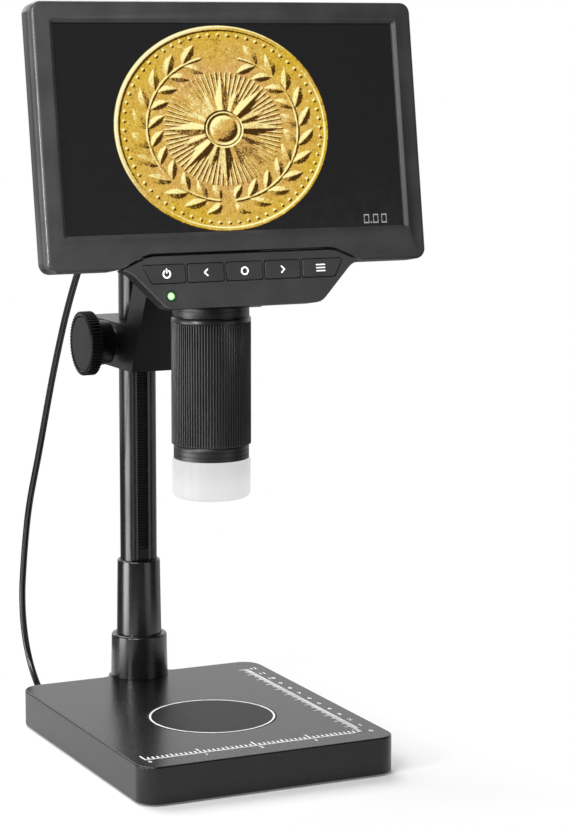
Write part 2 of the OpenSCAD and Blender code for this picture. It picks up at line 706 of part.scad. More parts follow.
module head_housing() color([0.1, 0.1, 0.105]) difference() {
    union() {
        side_extrude(2 * arm_half) polygon(head_profile());
        translate([0, tube_y, head_floor]) cylinder(r = boss_r, h = head_h);
        behind_face(fascia_t, panel_back) polygon(panel_outline());
    }
    // Hollow of the head over the tube
    translate([0, tube_y, head_floor + 3]) cylinder(r = boss_r - 2, h = head_h);
    translate([head_wall - arm_half, tube_y, head_floor + 3])
        cube([2 * (arm_half - head_wall), arm_rear_top - 7 - tube_y, head_h]);
    translate([0, tube_y, head_floor - 1]) cylinder(r = barrel_r + 0.1, h = head_h);
    behind_face(fascia_t - eps, panel_back - 1.6) polygon(tray_cavity());
    behind_face(panel_back - 2, panel_back + 6) translate([0, (panel_top + panel_foot) / 2])
        square([12, 5], center = true);
    // Way of the post, and the pocket of the pinion in front of it
    translate([0, post_y, block_low - 1]) cylinder(r = bore_r, h = block_h + 2);
    translate([0, post_y, block_top]) cylinder(r = bore_r, h = head_h + head_rise);
    shaft_bar(pitch_r + gear_m + 0.6, pinion_w + 1.6);
    shaft_bar(bush_r + 0.05, 3 * arm_half);
    for (x = [-9, 9]) translate([x, cover_screw_y, head_top - 8]) cylinder(r = screw_r + screw_fit, h = 10);
}
cover_screw_y = arm_rear_top - 3.6;

module head_cover() color([0.1, 0.1, 0.105]) difference() {
    union() {
        translate([0, 0, head_top]) linear_extrude(head_cover_t) intersection() {
            union() {
                translate([0, tube_y]) circle(boss_r);
                translate([-arm_half, tube_y]) square([2 * arm_half, arm_rear_top - tube_y]);
            }
            translate([-boss_r, cover_front]) square([2 * boss_r, 100]);
        }
        side_extrude(2 * arm_half)
            polygon([[cover_front + 4, head_top], [arm_rear_top - 8, head_top],
                     [arm_rear_top - 10, head_top + 9], [cover_front + 5.5, head_top + 9]]);
        for (s = [-1, 1]) hinge_ear(s);
    }
    translate([0, (cover_front + arm_rear_top) / 2 - 2, head_top])
        cube([2 * (arm_half - head_wall), arm_rear_top - cover_front - 18, 14], center = true);
    hinge_bar(hinge_pin_r, 60);
    hinge_bar(knuckle_r + 0.8, 2 * (knuckle_half + free_gap));
    translate([-arm_half, port_y, port_z]) cube([8, 9.4, 3.7], center = true);
    for (x = [-9, 9]) translate([x, cover_screw_y, head_top - 1]) cylinder(r = screw_r + 0.15, h = 5);
}
cover_front = tube_y - boss_r + 5;

module head_screws() color([0.5, 0.5, 0.5]) for (x = [-9, 9])
    translate([x, cover_screw_y, head_top + head_cover_t + screw_head_h]) rotate([180, 0, 0])
        screw(screw_head_r, screw_head_h, screw_r, 9);

// One of the two ears that hold the hinge pin
module hinge_ear(side) translate([side * (knuckle_half + free_gap + ear_w / 2), 0, 0]) {
    hinge_bar(knuckle_r, ear_w);
    side_extrude(ear_w) polygon([[hinge_y - knuckle_r, hinge_z], [hinge_y + knuckle_r, hinge_z],
                                 [hinge_y + knuckle_r + 3, head_top], [hinge_y - knuckle_r, head_top]]);
}

module slide_liners() color([0.75, 0.75, 0.72]) for (z = [block_low, block_top - liner_h])
    translate([0, post_y, z]) difference() {
        cylinder(r = bore_r - 0.05, h = liner_h);
        translate([0, 0, -1]) cylinder(r = post_r + slide_fit, h = liner_h + 2);
    }

module shaft_bushes() color([0.72, 0.6, 0.3]) for (s = [-1, 1])
    translate([s * (pinion_w / 2 + 1.2), focus_y, focus_z]) rotate([0, s * 90, 0]) difference() {
        union() {
            cylinder(r = bush_r, h = arm_half - pinion_w / 2 - 1.2 + bush_flange_t);
            translate([0, 0, arm_half - pinion_w / 2 - 1.15])
                cylinder(r = bush_flange_r, h = bush_flange_t - 0.05);
        }
        translate([0, 0, -1]) cylinder(r = shaft_r + 0.05, h = 2 * arm_half);
        // Room for the post where the bush passes beside it
        translate([-6, 2.1, -1]) cube([12, 6, arm_half - pinion_w / 2 - 3]);
    }

module button_outline(span, grow) polygon(rounded(
    [[span[0] - grow, button_top + grow], [span[0] + span[2] - grow, button_low - grow],
     [span[1] - span[3] + grow, button_low - grow], [span[1] + grow, button_top + grow]],
    [0.8, 0.8, 0.8, 0.8]));

module control_panel() color([0.13, 0.13, 0.135]) difference() {
    behind_face(0, fascia_t) polygon(panel_outline());
    for (s = [power_span, left_span, ok_span, right_span, menu_span])
        behind_face(-1, fascia_t + 1) button_outline(s, button_gap);
    behind_face(-1, fascia_t + 1) translate([status_u, status_v]) circle(lamp_r + 0.1);
}

module button(span) {
    behind_face(-button_proud, fascia_t + 0.4) button_outline(span, 0);
    behind_face(fascia_t + 0.3, fascia_t + 1.1) button_outline(span, button_gap + 0.3);
    behind_face(fascia_t + 1, key_board_depth - switch_h - button_travel - 0.1)
        translate([(span[0] + span[1]) / 2, (button_top + button_low) / 2]) circle(1.2);
}
module power_button() color([0.12, 0.12, 0.125]) button(power_span);
module left_button() color([0.12, 0.12, 0.125]) button(left_span);
module ok_button() color([0.12, 0.12, 0.125]) button(ok_span);
module right_button() color([0.12, 0.12, 0.125]) button(right_span);
module menu_button() color([0.12, 0.12, 0.125]) button(menu_span);

module button_board() color([0.05, 0.3, 0.15]) {
    behind_face(key_board_depth, key_board_depth + key_board_t)
        polygon([[-40, button_top - 0.5], [40, button_top - 0.5], [40, button_low], [31, status_v - 1.7],
                 [status_u - 1.1, status_v - 1.7], [-40, button_low]]);
    for (s = [power_span, left_span, ok_span, right_span, menu_span])
        behind_face(key_board_depth - switch_h, key_board_depth + eps)
            translate([(s[0] + s[1]) / 2, (button_top + button_low) / 2]) square([4.5, 4.5], center = true);
    for (p = key_posts()) behind_face(key_board_depth + key_board_t - eps, panel_back - 1.6)
        translate(p) circle(1.6);
}

module status_lamp() color([0.6, 0.95, 0.55])
    behind_face(0.1, key_board_depth) translate([status_u, status_v]) circle(lamp_r);

// ---- Camera tube ----

module on_tube(z) translate([0, tube_y, z]) children();

module camera_barrel() color([0.12, 0.12, 0.125]) on_tube(0) difference() {
    union() {
        translate([0, 0, barrel_low]) cylinder(r = barrel_r, h = head_floor + 3.2 - barrel_low);
        translate([0, 0, ring_top + ring_gap]) cylinder(r = collar_r, h = collar_h - ring_gap);
    }
    translate([0, 0, barrel_low - 1]) cylinder(r = barrel_bore, h = head_floor + 10 - barrel_low);
    // Guide slot of the lens carrier's pin
    translate([-drive_pin_r - 0.1, -barrel_r - 1, drive_pin_z - lens_slide - drive_pin_r - 0.2])
        cube([2 * drive_pin_r + 0.2, barrel_r, 2 * (lens_slide + drive_pin_r + 0.2)]);
}

module focus_ring() color([0.11, 0.11, 0.115]) on_tube(ring_low + ring_gap) difference() {
    union() {
        linear_extrude(ring_h - 3.2)
            toothed_outline(ring_r - 0.15, ring_r - 0.15 - rib_d, ring_ribs, 0.22, 0.3);
        rotate_extrude()
            polygon([[0, 0], [ring_r - 0.9, 0], [ring_r - 0.6, 0.4], [ring_r - 0.6, ring_h - 3.4],
                     [ring_r, ring_h - 3.2], [ring_r, ring_h - 0.8],
                     [ring_r - 0.5, ring_h - ring_gap], [0, ring_h - ring_gap]]);
    }
    translate([0, 0, -1]) cylinder(r = barrel_r + 0.1, h = ring_h + 2);
    // Inner track of the lens carrier's pin
    translate([0, 0, drive_pin_z - lens_slide - drive_pin_r - 0.4 - ring_low - ring_gap])
        cylinder(r = barrel_r + 1, h = 2 * (lens_slide + drive_pin_r + 0.4));
}

module nose_ring() color([0.12, 0.12, 0.125]) on_tube(0) difference() {
    union() {
        translate([0, 0, nose_low]) rotate_extrude()
            polygon([[0, 0], [nose_r, 0], [nose_r, nose_h - 0.5], [nose_r - 0.4, nose_h], [0, nose_h]]);
        translate([0, 0, nose_low - 2.4]) cylinder(r = shade_r - shade_wall - 0.05, h = 3);
    }
    translate([0, 0, nose_low - 10]) cylinder(r = barrel_r + 0.05, h = nose_h + 20);
}

module light_board() color([0.9, 0.9, 0.88]) on_tube(barrel_low - 2.4) difference() {
    cylinder(r = shade_r - shade_wall - 0.1, h = 1.5);
    translate([0, 0, -1]) cylinder(r = lens_r - 0.5, h = 4);
}

module light_lamps() color([0.95, 0.93, 0.75]) on_tube(barrel_low - 3.4)
    for (i = [0:lamp_count - 1]) rotate([0, 0, 360 / lamp_count * i]) translate([lamp_ring_r, 0, 0])
        translate([-1.5, -1.5, 0]) cube([3, 3, 1]);

module light_shade() color([0.93, 0.94, 0.95, 0.75]) on_tube(shade_low) rotate_extrude()
    polygon(concat([[shade_r - 4.2, 0]],
                   [for (k = [0:arc_steps]) let (a = 90 * k / arc_steps)
                    [shade_r - 3 + 3 * sin(a), 3 - 3 * cos(a)]],
                   [[shade_r, shade_h - 0.4], [shade_r - 0.3, shade_h - 0.1],
                    [shade_r - shade_wall, shade_h - 0.1], [shade_r - shade_wall, 3.4],
                    [shade_r - 4.2, 1.4]]));

module lens_carrier() color([0.15, 0.15, 0.155]) on_tube(lens_low) difference() {
    union() {
        cylinder(r = barrel_bore - lens_fit, h = carrier_len);
        translate([0, 0, drive_pin_z - lens_low]) rotate([90, 0, 0])
            cylinder(r = drive_pin_r, h = barrel_r + 0.7);
    }
    translate([0, 0, -1]) cylinder(r = lens_r - 1, h = carrier_len + 2);
    translate([0, 0, -1]) cylinder(r = lens_r + 0.05, h = 5);
    translate([0, 0, carrier_len - 4]) cylinder(r = lens_r + 0.05, h = 5);
}

module lens(low, bulge) on_tube(low) intersection() {
    cylinder(r = lens_r, h = 4);
    translate([0, 0, bulge]) sphere(r = bulge, $fn = 96);
}
module front_lens() color([0.7, 0.8, 0.85, 0.5]) lens(lens_low, 30);
module rear_lens() color([0.7, 0.8, 0.85, 0.5]) lens(lens_low + carrier_len - 3.9, 40);

module sensor_board() color([0.05, 0.25, 0.3]) on_tube(head_floor - 8) {
    cylinder(r = barrel_bore - 0.05, h = 1.6);
    translate([-5, -5, -1.5]) cube([10, 10, 1.5 + eps]);
    translate([-4, 4, 1.6 - eps]) cube([8, 4, 3]);
}

// ---- Focus drive ----

module focus_shaft() color([0.7, 0.7, 0.72]) shaft_bar(shaft_r, 2 * (knob_out - 3));

module pinion() color([0.75, 0.65, 0.35]) translate([0, focus_y, focus_z]) rotate([90, 0, 90])
    linear_extrude(pinion_w, center = true) difference() {
        pinion_outline();
        circle(shaft_r + 0.01);
    }

// Outline of the pinion in its plane, with a tooth pointing at the rack
module pinion_outline() {
    root = pitch_r - 1.2 * gear_m;
    tip = pitch_r + gear_m;
    share = 0.25 - backlash / 2 / tooth_pitch;
    polygon([for (i = [0:pinion_teeth - 1],
                  c = [[-share - 0.06, root], [-share, pitch_r], [-share * 0.42, tip],
                       [share * 0.42, tip], [share, pitch_r], [share + 0.06, root]])
             let (a = 360 / pinion_teeth * (i + c[0])) c[1] * [cos(a), sin(a)]]);
}

// A knob drawn along +z, with its hub towards the block at z = 0
module knob_form() {
    hub_l = knob_out - knob_t - arm_half - bush_flange_t - free_gap;
    difference() {
        union() {
            rotate_extrude() polygon([[0, 0], [8, 0], [9.8, 1.2], [10.4, hub_l], [knob_r - 2, hub_l],
                                      [knob_r - 1.2, hub_l + 0.5], [knob_r - 0.7, hub_l + 1],
                                      [knob_r - 0.7, hub_l + knob_t - 0.6], [knob_r - 1.2, hub_l + knob_t],
                                      [0, hub_l + knob_t]]);
            translate([0, 0, hub_l + 0.7]) linear_extrude(knob_t - 1.5)
                toothed_outline(knob_r, knob_r - 0.8, knob_grips, 0.18, 0.34);
        }
        translate([0, 0, hub_l + knob_t - 1.4]) cylinder(r = knob_r - 2.2, h = 3);
        translate([0, 0, -1]) cylinder(r = shaft_r + 0.01, h = hub_l + knob_t - 2);
    }
}

module on_shaft(side) translate([side * (arm_half + bush_flange_t + free_gap), focus_y, focus_z])
    rotate([0, side * 90, 0]) children();
module left_knob() color([0.07, 0.07, 0.075]) on_shaft(-1) knob_form();
module right_knob() color([0.07, 0.07, 0.075]) on_shaft(1) knob_form();

module knob_caps() color([0.25, 0.25, 0.26]) for (s = [-1, 1])
    translate([s * (knob_out - 1.4), focus_y, focus_z]) rotate([0, s * 90, 0])
        rotate_extrude()
            polygon([[0, 0], [knob_r - 2.3, 0], [knob_r - 2.3, 0.8], [knob_r - 2.6, 1.1], [0, 1.1]]);

// ---- Display ----

// The notch over the control panel, widened by g for the wall round it
module notch_form(g) {
    top = notch_rise - display_down + g;
    foot = notch_foot_half + g / sin(notch_lean);
    half = notch_top_half + g * tan(notch_lean / 2);
    low = -display_down - eps;
    polygon(rounded([[-foot - 9, low - 3], [-foot - 9, low], [-foot, low], [-half, top], [half, top],
                     [foot, low], [foot + 9, low], [foot + 9, low - 3]],
                    [0.1, 0.1, 8, 13, 13, 8, 0.1, 0.1]));
}

case_h = display_up + display_down;
case_mid = (display_up - display_down) / 2;

module display_bezel() color([0.12, 0.12, 0.125]) difference() {
    on_screen() translate([0, case_mid, -bezel_t])
        soft_slab(display_w, case_h, display_r, round_edge(bezel_t, bezel_edge, soft_steps));
    difference() {
        behind_face(lip_t, bezel_t + 1) translate([0, case_mid])
            rounded_rect(display_w - 2 * case_wall, case_h - 2 * case_wall, display_r - case_wall);
        behind_face(lip_t - 1, bezel_t + 2) notch_form(case_wall);
    }
    behind_face(-1, lip_t + 1) square([window_w, window_h], center = true);
    on_screen() window_chamfer();
    behind_face(-2, bezel_t + 2) notch_form(0);
}

// The sloping rim round the picture
module window_chamfer() {
    for (a = [0, 180]) rotate([0, 0, a]) translate([0, window_h / 2, 0]) rotate([90, 0, 90])
        linear_extrude(window_w + 2 * window_bevel, center = true)
            polygon([[-1, -window_sink], [0, -window_sink], [window_bevel, 0], [window_bevel, 1], [-1, 1]]);
    for (a = [90, 270]) rotate([0, 0, a]) translate([0, window_w / 2, 0]) rotate([90, 0, 90])
        linear_extrude(window_h + 2 * window_bevel, center = true)
            polygon([[-1, -window_sink], [0, -window_sink], [window_bevel, 0], [window_bevel, 1], [-1, 1]]);
}

module screen_window() color([0.03, 0.03, 0.035]) behind_face(lip_t, lip_t + glass_t)
    square([lcd_w, window_h + 5], center = true);

module lcd_panel() color([0.2, 0.2, 0.22]) behind_face(lip_t + glass_t, lip_t + glass_t + lcd_t)
    square([lcd_w, lcd_h], center = true);

module display_board() color([0.05, 0.25, 0.12]) {
    behind_face(board_depth, board_depth + 1.6) translate([display_w / 2 - 4.5 - board_w / 2, 6])
        square([board_w, board_h], center = true);
    behind_face(board_depth + 1.5, board_depth + 3.4) translate([20, 8]) square([16, 16], center = true);
    behind_face(board_depth + 1.5, board_depth + 3) translate([-8, 22]) square([10, 12], center = true);
    for (u = [-36, 60], v = [-18, 30]) behind_face(board_depth - 1.2, board_depth + eps)
        translate([u, v]) circle(2.2);
    behind_face(board_depth + 1.5, board_depth + 4.6) translate([display_w / 2 - 8.5, side_port_v])
        square([8, 9], center = true);
    behind_face(board_depth + 1.5, board_depth + 3.2) translate([display_w / 2 - 11.5, card_slot_v])
        square([14, 14], center = true);
}

module battery() color([0.55, 0.57, 0.6])
    behind_face(display_t - case_wall - 5, display_t - case_wall) translate([pack_u, 4])
        rounded_rect(pack_w, board_h, 1.5);

// The case's back, or the hollow in it, smaller by one wall all round
module rear_form(wall) on_screen() translate([0, case_mid, -bezel_t]) mirror([0, 0, 1])
    soft_slab(display_w - 2 * wall, case_h - 2 * wall, display_r - wall,
              [[0, wall > 0 ? -1 : 0], [0, rear_straight - bezel_t],
               [rear_inset * rear_share(wall), display_t - bezel_t - wall]]);
function rear_share(wall) = (display_t - rear_straight - wall) / (display_t - rear_straight);

module rear_shell() color([0.1, 0.1, 0.105]) difference() {
    union() {
        difference() {
            rear_form(0);
            difference() {
                rear_form(case_wall);
                behind_face(-1, display_t + 1) notch_form(case_wall);
            }
        }
        for (p = case_bolts()) behind_face(board_depth, display_t - 0.4) translate(p) circle(3);
        hinge_knuckle();
    }
    behind_face(-1, display_t + 1) notch_form(0);
    hinge_bar(hinge_pin_r + 0.06, 60);
    for (p = case_bolts()) {
        behind_face(board_depth - 1, display_t + 2) translate(p) circle(screw_r + screw_fit);
        behind_face(display_t - 1.4, display_t + 2) translate(p) circle(screw_head_r + 0.15);
    }
    // Mouths of the charging socket and the card slot in the right side
    on_screen() translate([display_w / 2, side_port_v, -board_depth - 3.1])
        cube([18, 9.6, 3.7], center = true);
    on_screen() translate([display_w / 2, card_slot_v, -board_depth - 2.4])
        cube([18, 14.6, 2.2], center = true);
}

module hinge_knuckle() {
    hinge_bar(knuckle_r, 2 * knuckle_half);
    behind_face(display_t - case_wall, hinge_depth) translate([0, hinge_v])
        square([2 * knuckle_half, 2 * knuckle_r], center = true);
}

function case_bolts() = [for (u = [-bolt_u, bolt_u],
                              v = [11.9 - display_down, display_up - 11.4]) [u, v]];

module case_screws() color([0.45, 0.45, 0.45]) for (p = case_bolts())
    on_screen() translate([p[0], p[1], -display_t + 0.2])
        screw(screw_head_r, screw_head_h - 0.1, screw_r, 7);

module case_hinge_pin() color([0.6, 0.6, 0.62])
    hinge_bar(hinge_pin_r - 0.01, 2 * (knuckle_half + free_gap + ear_w) + 0.6);

base_housing();
bottom_cover();
rubber_feet();
cover_screws();
weigh_pan();
pan_carrier();
load_cell();
cell_spacer();
cell_screws();
scale_board();
link_socket();
lower_collar();
upper_collar();
post();
rack();
post_cap();
post_bolt();
link_cable();
head_plug();
base_plug();
head_socket();
head_housing();
head_cover();
head_screws();
slide_liners();
shaft_bushes();
control_panel();
button_board();
status_lamp();
camera_barrel();
nose_ring();
sensor_board();
light_board();
light_lamps();
light_shade();
focus_shaft();
pinion();
left_knob();
right_knob();
knob_caps();
lens_carrier();
front_lens();
rear_lens();
focus_ring();
power_button();
left_button();
ok_button();
right_button();
menu_button();
display_bezel();
screen_window();
lcd_panel();
display_board();
battery();
rear_shell();
case_screws();
case_hinge_pin();
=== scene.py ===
# %% [markdown]
# A digital microscope that stands on a flat weighing base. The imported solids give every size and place, and
# this lesson adds the looks: softened edges, printed scales, ribs, a cable and a finish for each material.
# Everything is in metres, in the frame of the solids, so a piece goes straight to where its solid is.

# %% Load the solids
import json
import math
import bpy
import bmesh
import numpy as np
from mathutils import Matrix, Vector


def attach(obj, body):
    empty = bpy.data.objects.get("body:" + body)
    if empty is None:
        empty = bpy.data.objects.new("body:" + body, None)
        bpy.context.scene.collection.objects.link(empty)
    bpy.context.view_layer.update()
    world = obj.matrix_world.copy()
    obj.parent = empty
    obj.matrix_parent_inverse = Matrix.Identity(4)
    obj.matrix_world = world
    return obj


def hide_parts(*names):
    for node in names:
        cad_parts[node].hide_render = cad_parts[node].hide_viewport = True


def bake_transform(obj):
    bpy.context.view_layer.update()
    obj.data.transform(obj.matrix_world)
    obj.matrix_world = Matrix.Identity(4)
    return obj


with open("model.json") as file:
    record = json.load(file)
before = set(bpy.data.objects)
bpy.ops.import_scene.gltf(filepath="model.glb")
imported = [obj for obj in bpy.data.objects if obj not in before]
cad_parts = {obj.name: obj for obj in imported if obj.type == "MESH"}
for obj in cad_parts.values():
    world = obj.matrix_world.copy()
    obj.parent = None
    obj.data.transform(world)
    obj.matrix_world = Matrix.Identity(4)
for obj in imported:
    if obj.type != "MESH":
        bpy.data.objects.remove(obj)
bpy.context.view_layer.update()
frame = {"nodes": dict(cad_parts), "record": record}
nodes = frame["nodes"]
MM = 0.001
TILT = math.radians(9)
TUBE = (0, -17.5)  # the tube's axis
BASE_TOP = 17.0
SCREEN_MIDDLE = (0, -42.3025, 275.297)
SCREEN_PLACE = (Matrix.Translation(Vector(SCREEN_MIDDLE) * MM)
                @ Matrix.Rotation(math.pi / 2 - TILT, 4, "X"))
TO_SCREEN = SCREEN_PLACE.inverted()
STATUS_LAMP = (-33.7, -69.3, 0)  # on the screen's plane

# %% [markdown]
# The camera stands in front and to the left, a metre away, and looks slightly down. A long lens keeps the
# upright edges nearly parallel. It could aim itself with a constraint, but plain numbers are easier to read
# and repeat.

# %% Camera
def placed(name, data):
    """A new object in the scene."""
    made = bpy.data.objects.new(name, data)
    bpy.context.scene.collection.objects.link(made)
    return made


camera_data = bpy.data.cameras.new("bench_camera")
camera_data.sensor_width = 36
camera_data.lens = 111.7
bench_camera = placed("bench_camera", camera_data)
bench_camera.location = (-0.4453, -1.0185, 0.31445)
turn = (Matrix.Rotation(math.radians(-25.635), 3, "Z") @ Matrix.Rotation(math.radians(81.528), 3, "X")
        @ Matrix.Rotation(math.radians(0.085), 3, "Z"))
bench_camera.rotation_euler = turn.to_euler()
bpy.context.scene.camera = bench_camera
bpy.context.scene.view_settings.view_transform = "Standard"
print("camera lens", camera_data.lens)

# %% [markdown]
# A finish is a small network of nodes. Wiring each node by hand makes long code, so two small classes do
# it. A Wire holds one output, and Python's own signs make its Math nodes: a + b, 1 - a, a * b. Its method
# node() makes any other kind. A Finish holds a material, and finish["Roughness"] = wire sets the shader's
# socket of that name.

# %% Two classes for the finishes
def plug(tree, value, socket):
    """Sets a socket to a number or a colour, or links another node's output to it."""
    if isinstance(value, Wire):
        tree.links.new(value.socket, socket)
    elif isinstance(value, (tuple, list)) and len(value) == 3 and socket.type == "RGBA":
        socket.default_value = (*value, 1)
    else:
        socket.default_value = value


class Wire:
    """One output in a finish's network."""

    def __init__(self, tree, socket):
        self.tree, self.socket = tree, socket

    def node(self, kind, given=None, out=0, **settings):
        made = self.tree.nodes.new("ShaderNode" + kind)
        for name, value in settings.items():
            setattr(made, name, value)
        for key, value in (given or {}).items():
            plug(self.tree, value, made.inputs[key])
        return Wire(self.tree, made.outputs[out])

    def maths(self, operation, *others, first=None):
        values = (self, *others) if first is None else (first, self)
        return self.node("Math", dict(enumerate(values)), operation=operation)

    def __add__(self, other): return self.maths("ADD", other)
    def __radd__(self, other): return self.maths("ADD", first=other)
    def __sub__(self, other): return self.maths("SUBTRACT", other)
    def __rsub__(self, other): return self.maths("SUBTRACT", first=other)
    def __mul__(self, other): return self.maths("MULTIPLY", other)
    def __rmul__(self, other): return self.maths("MULTIPLY", first=other)
    def __truediv__(self, other): return self.maths("DIVIDE", other)
    def __abs__(self): return self.maths("ABSOLUTE")

    def fract(self): return self.maths("FRACT")
    def most(self, other): return self.maths("MAXIMUM", other)

    def ramp(self, low, high, start=0.0, end=1.0):
        """A smooth step from start to end as this goes from low to high."""
        return self.node("MapRange", {0: self, 1: low, 2: high, 3: start, 4: end},
                         interpolation_type="SMOOTHSTEP")

    def fade(self, low, high):
        """A smooth step from 1 to 0 as this goes from low to high."""
        return self.ramp(low, high, 1.0, 0.0)

    def noise(self, scale, detail=2.0):
        """Noise read at this place, whose grains are about 1 / scale metres."""
        return self.node("TexNoise", {"Vector": self, "Scale": scale, "Detail": detail})

    def mix(self, low, high):
        """A colour between two, by this factor."""
        return self.node("Mix", {0: self, 6: low, 7: high}, out=2, data_type="RGBA")

    def stretch(self, x, y, z):
        return self.node("Mapping", {"Vector": self, "Scale": (x, y, z)})

    def parts(self):
        """The X, Y and Z of this place."""
        return [Wire(self.tree, socket) for socket in self.node("SeparateXYZ", {0: self}).socket.node.outputs]


class Finish:
    """A new finish, and the place on the piece. Values and wires go on its Principled shader's sockets."""

    def __init__(self, name, colour, roughness, **shader):
        self.material = bpy.data.materials.new(name)
        self.material.use_nodes = True
        self.tree = self.material.node_tree
        self.principled = self.tree.nodes["Principled BSDF"]
        self.place = Wire(self.tree, self.tree.nodes.new("ShaderNodeTexCoord").outputs["Object"])
        for label, value in {"Base Color": colour, "Roughness": roughness, **shader}.items():
            self[label.replace("_", " ")] = value

    def __setitem__(self, label, value):
        plug(self.tree, value, self.principled.inputs[label])

    def bump(self, height, depth, strength=1.0):
        """Raises the surface by a height from 0 to 1, to a depth in metres."""
        self["Normal"] = height.node("Bump", {"Strength": strength, "Distance": depth, "Height": height})


print("classes ready:", Wire.__name__, Finish.__name__)

# %% [markdown]
# Moulded plastic gets its look from a fine eroded texture in the mould: grains of a fifth of a millimetre
# that break up a highlight. A little mottling of colour and roughness keeps large faces from looking
# painted by a computer.

# %% Plastics, rubber and jackets
def moulded(name, colour, roughness, grain=5200, depth=0.00001, spread=0.16, wear=0.08, **shader):
    made = Finish(name, colour, roughness, **shader)
    fine, broad = made.place.noise(grain, 1.5), made.place.noise(60, 3)
    made["Base Color"] = broad.ramp(0.3, 0.7).mix([c * (1 - spread) for c in colour],
                                                  [c * (1 + spread) for c in colour])
    made["Roughness"] = fine.ramp(0.3, 0.7, roughness - 0.05, roughness + 0.06) + (broad - 0.5) * wear
    made.bump(fine, depth, 0.35)
    return made


body_finish = moulded("satin_black_plastic", (0.005, 0.005, 0.0055), 0.25, wear=0.03,
                      Specular_IOR_Level=0.38)
case_finish = moulded("case_black_plastic", (0.010, 0.010, 0.0105), 0.34)
# The head's black plastic is a little darker than the base's, as painted shade for the arm under the screen
# and panel.
arm_painted_shade_finish = moulded("arm_black_plastic_painted_shade", (0.003, 0.003, 0.0033), 0.33, Specular_IOR_Level=0.18)
collar_finish = moulded("collar_black_plastic", (0.005, 0.005, 0.0055), 0.22, depth=0.000004,
                        Specular_IOR_Level=0.7)
nose_finish = moulded("nose_black_plastic", (0.012, 0.012, 0.0125), 0.42)
# The shaft bushes are given a dark bronze colour in place of the brass of their slot.
bush_finish = moulded("dark_bronze_bush", (0.010, 0.008, 0.006), 0.42)
pan_finish = moulded("pan_black_plastic", (0.004, 0.004, 0.0044), 0.42, Specular_IOR_Level=0.12)
fascia_finish = moulded("matte_grey_plastic", (0.046, 0.046, 0.048), 0.50, depth=0.00004)
edge_finish = moulded("polished_grey_edge", (0.046, 0.046, 0.048), 0.26, depth=0.000004, wear=0.03)
gloss_finish = moulded("smooth_black_plastic", (0.008, 0.008, 0.0085), 0.24, Coat_Weight=0.2,
                       Coat_Roughness=0.15)
key_finish = moulded("key_plastic", (0.040, 0.040, 0.042), 0.44)
rack_finish = moulded("rack_plastic", (0.003, 0.003, 0.0033), 0.36, Specular_IOR_Level=0.2)
liner_finish = moulded("slippery_liner", (0.012, 0.012, 0.013), 0.4)
rubber_finish = moulded("foot_rubber", (0.02, 0.02, 0.02), 0.8, grain=3000, depth=0.00006)
jacket_finish = moulded("cable_jacket", (0.006, 0.006, 0.0065), 0.22, depth=0.000002, wear=0.02)
print("plastics ready")

# %% [markdown]
# The post is drawn tube with a black anodised skin, so its fine lines run up and down. The other metals are
# turned or plated. A metal's colour belongs in Base Color with Metallic at 1, and the lines come from noise
# that is stretched.

# %% Metals
def worked_metal(name, colour, roughness, lines, metallic=1.0, depth=0.00001):
    made = Finish(name, colour, roughness, Metallic=metallic)
    drawn = made.place.stretch(*lines).noise(1, 3)
    made["Roughness"] = drawn.ramp(0.3, 0.7, roughness - 0.07, roughness + 0.08)
    made["Base Color"] = made.place.noise(90, 2).ramp(0.3, 0.7).mix(
        [c * 0.85 for c in colour], [min(1, c * 1.12) for c in colour])
    made.bump(drawn, depth, 0.3)
    return made


post_finish = worked_metal("black_anodised_post", (0.007, 0.007, 0.0075), 0.24, (2600, 2600, 45),
                           metallic=0.0)
steel_finish = worked_metal("plated_steel", (0.56, 0.56, 0.57), 0.30, (300, 4000, 4000))
alloy_finish = worked_metal("machined_alloy", (0.74, 0.75, 0.77), 0.36, (3000, 200, 3000))
brass_finish = worked_metal("turned_brass", (0.72, 0.52, 0.20), 0.28, (200, 3500, 3500))
panel_metal_finish = worked_metal("display_frame_metal", (0.32, 0.32, 0.34), 0.42, (400, 3000, 3000))
print("metals ready")

# %% [markdown]
# The small inner parts each have a finish as well: a circuit board's green mask over copper tracks, foil
# round the battery, lamps, coated glass, the frosted shade and the printed white ink of the scales.

# %% Boards, foil and lamps
board_finish = Finish("circuit_board", (0.01, 0.09, 0.035), 0.35, Coat_Weight=0.4)
tracks = board_finish.place.stretch(900, 900, 900).node("TexVoronoi", {"Scale": 1.0},
                                                        feature="DISTANCE_TO_EDGE")
board_finish["Base Color"] = tracks.ramp(0.02, 0.06).mix((0.03, 0.16, 0.06), (0.008, 0.075, 0.03))
board_finish.bump(tracks.ramp(0.02, 0.08), 0.00003, 0.4)

cell_finish = Finish("foil_wrapped_cell", (0.5, 0.52, 0.55), 0.38, Metallic=0.6)
folds = cell_finish.place.noise(160, 4)
cell_finish["Roughness"] = folds.ramp(0.3, 0.7, 0.28, 0.5)
cell_finish.bump(folds, 0.0003, 0.5)


def lit(name, colour, glow, strength):
    made = Finish(name, colour, 0.3, Emission_Strength=strength)
    made["Emission Color"] = made.place.noise(1500, 2).ramp(0.3, 0.7).mix([c * 0.92 for c in glow], glow)
    return made


lamp_finish = lit("white_lamp", (0.9, 0.88, 0.7), (1.0, 0.97, 0.9), 1.0)
sign_finish = lit("white_key_sign", (0.9, 0.9, 0.9), (0.86, 0.86, 0.88), 0.62)

# The status guide is palest in its middle, where the lamp shines straight through it.
status_finish = Finish("green_light_guide", (0.1, 0.3, 0.08), 0.15, Emission_Strength=1.0)
away = status_finish.place.node("VectorMath", {
    0: status_finish.place, 1: tuple(SCREEN_PLACE @ (Vector(STATUS_LAMP) * MM))}, out=1, operation="DISTANCE")
status_finish["Emission Color"] = away.ramp(0.0008, 0.0017).mix((0.80, 1.0, 0.70), (0.10, 0.50, 0.08))
print("board, cell and lamps ready")

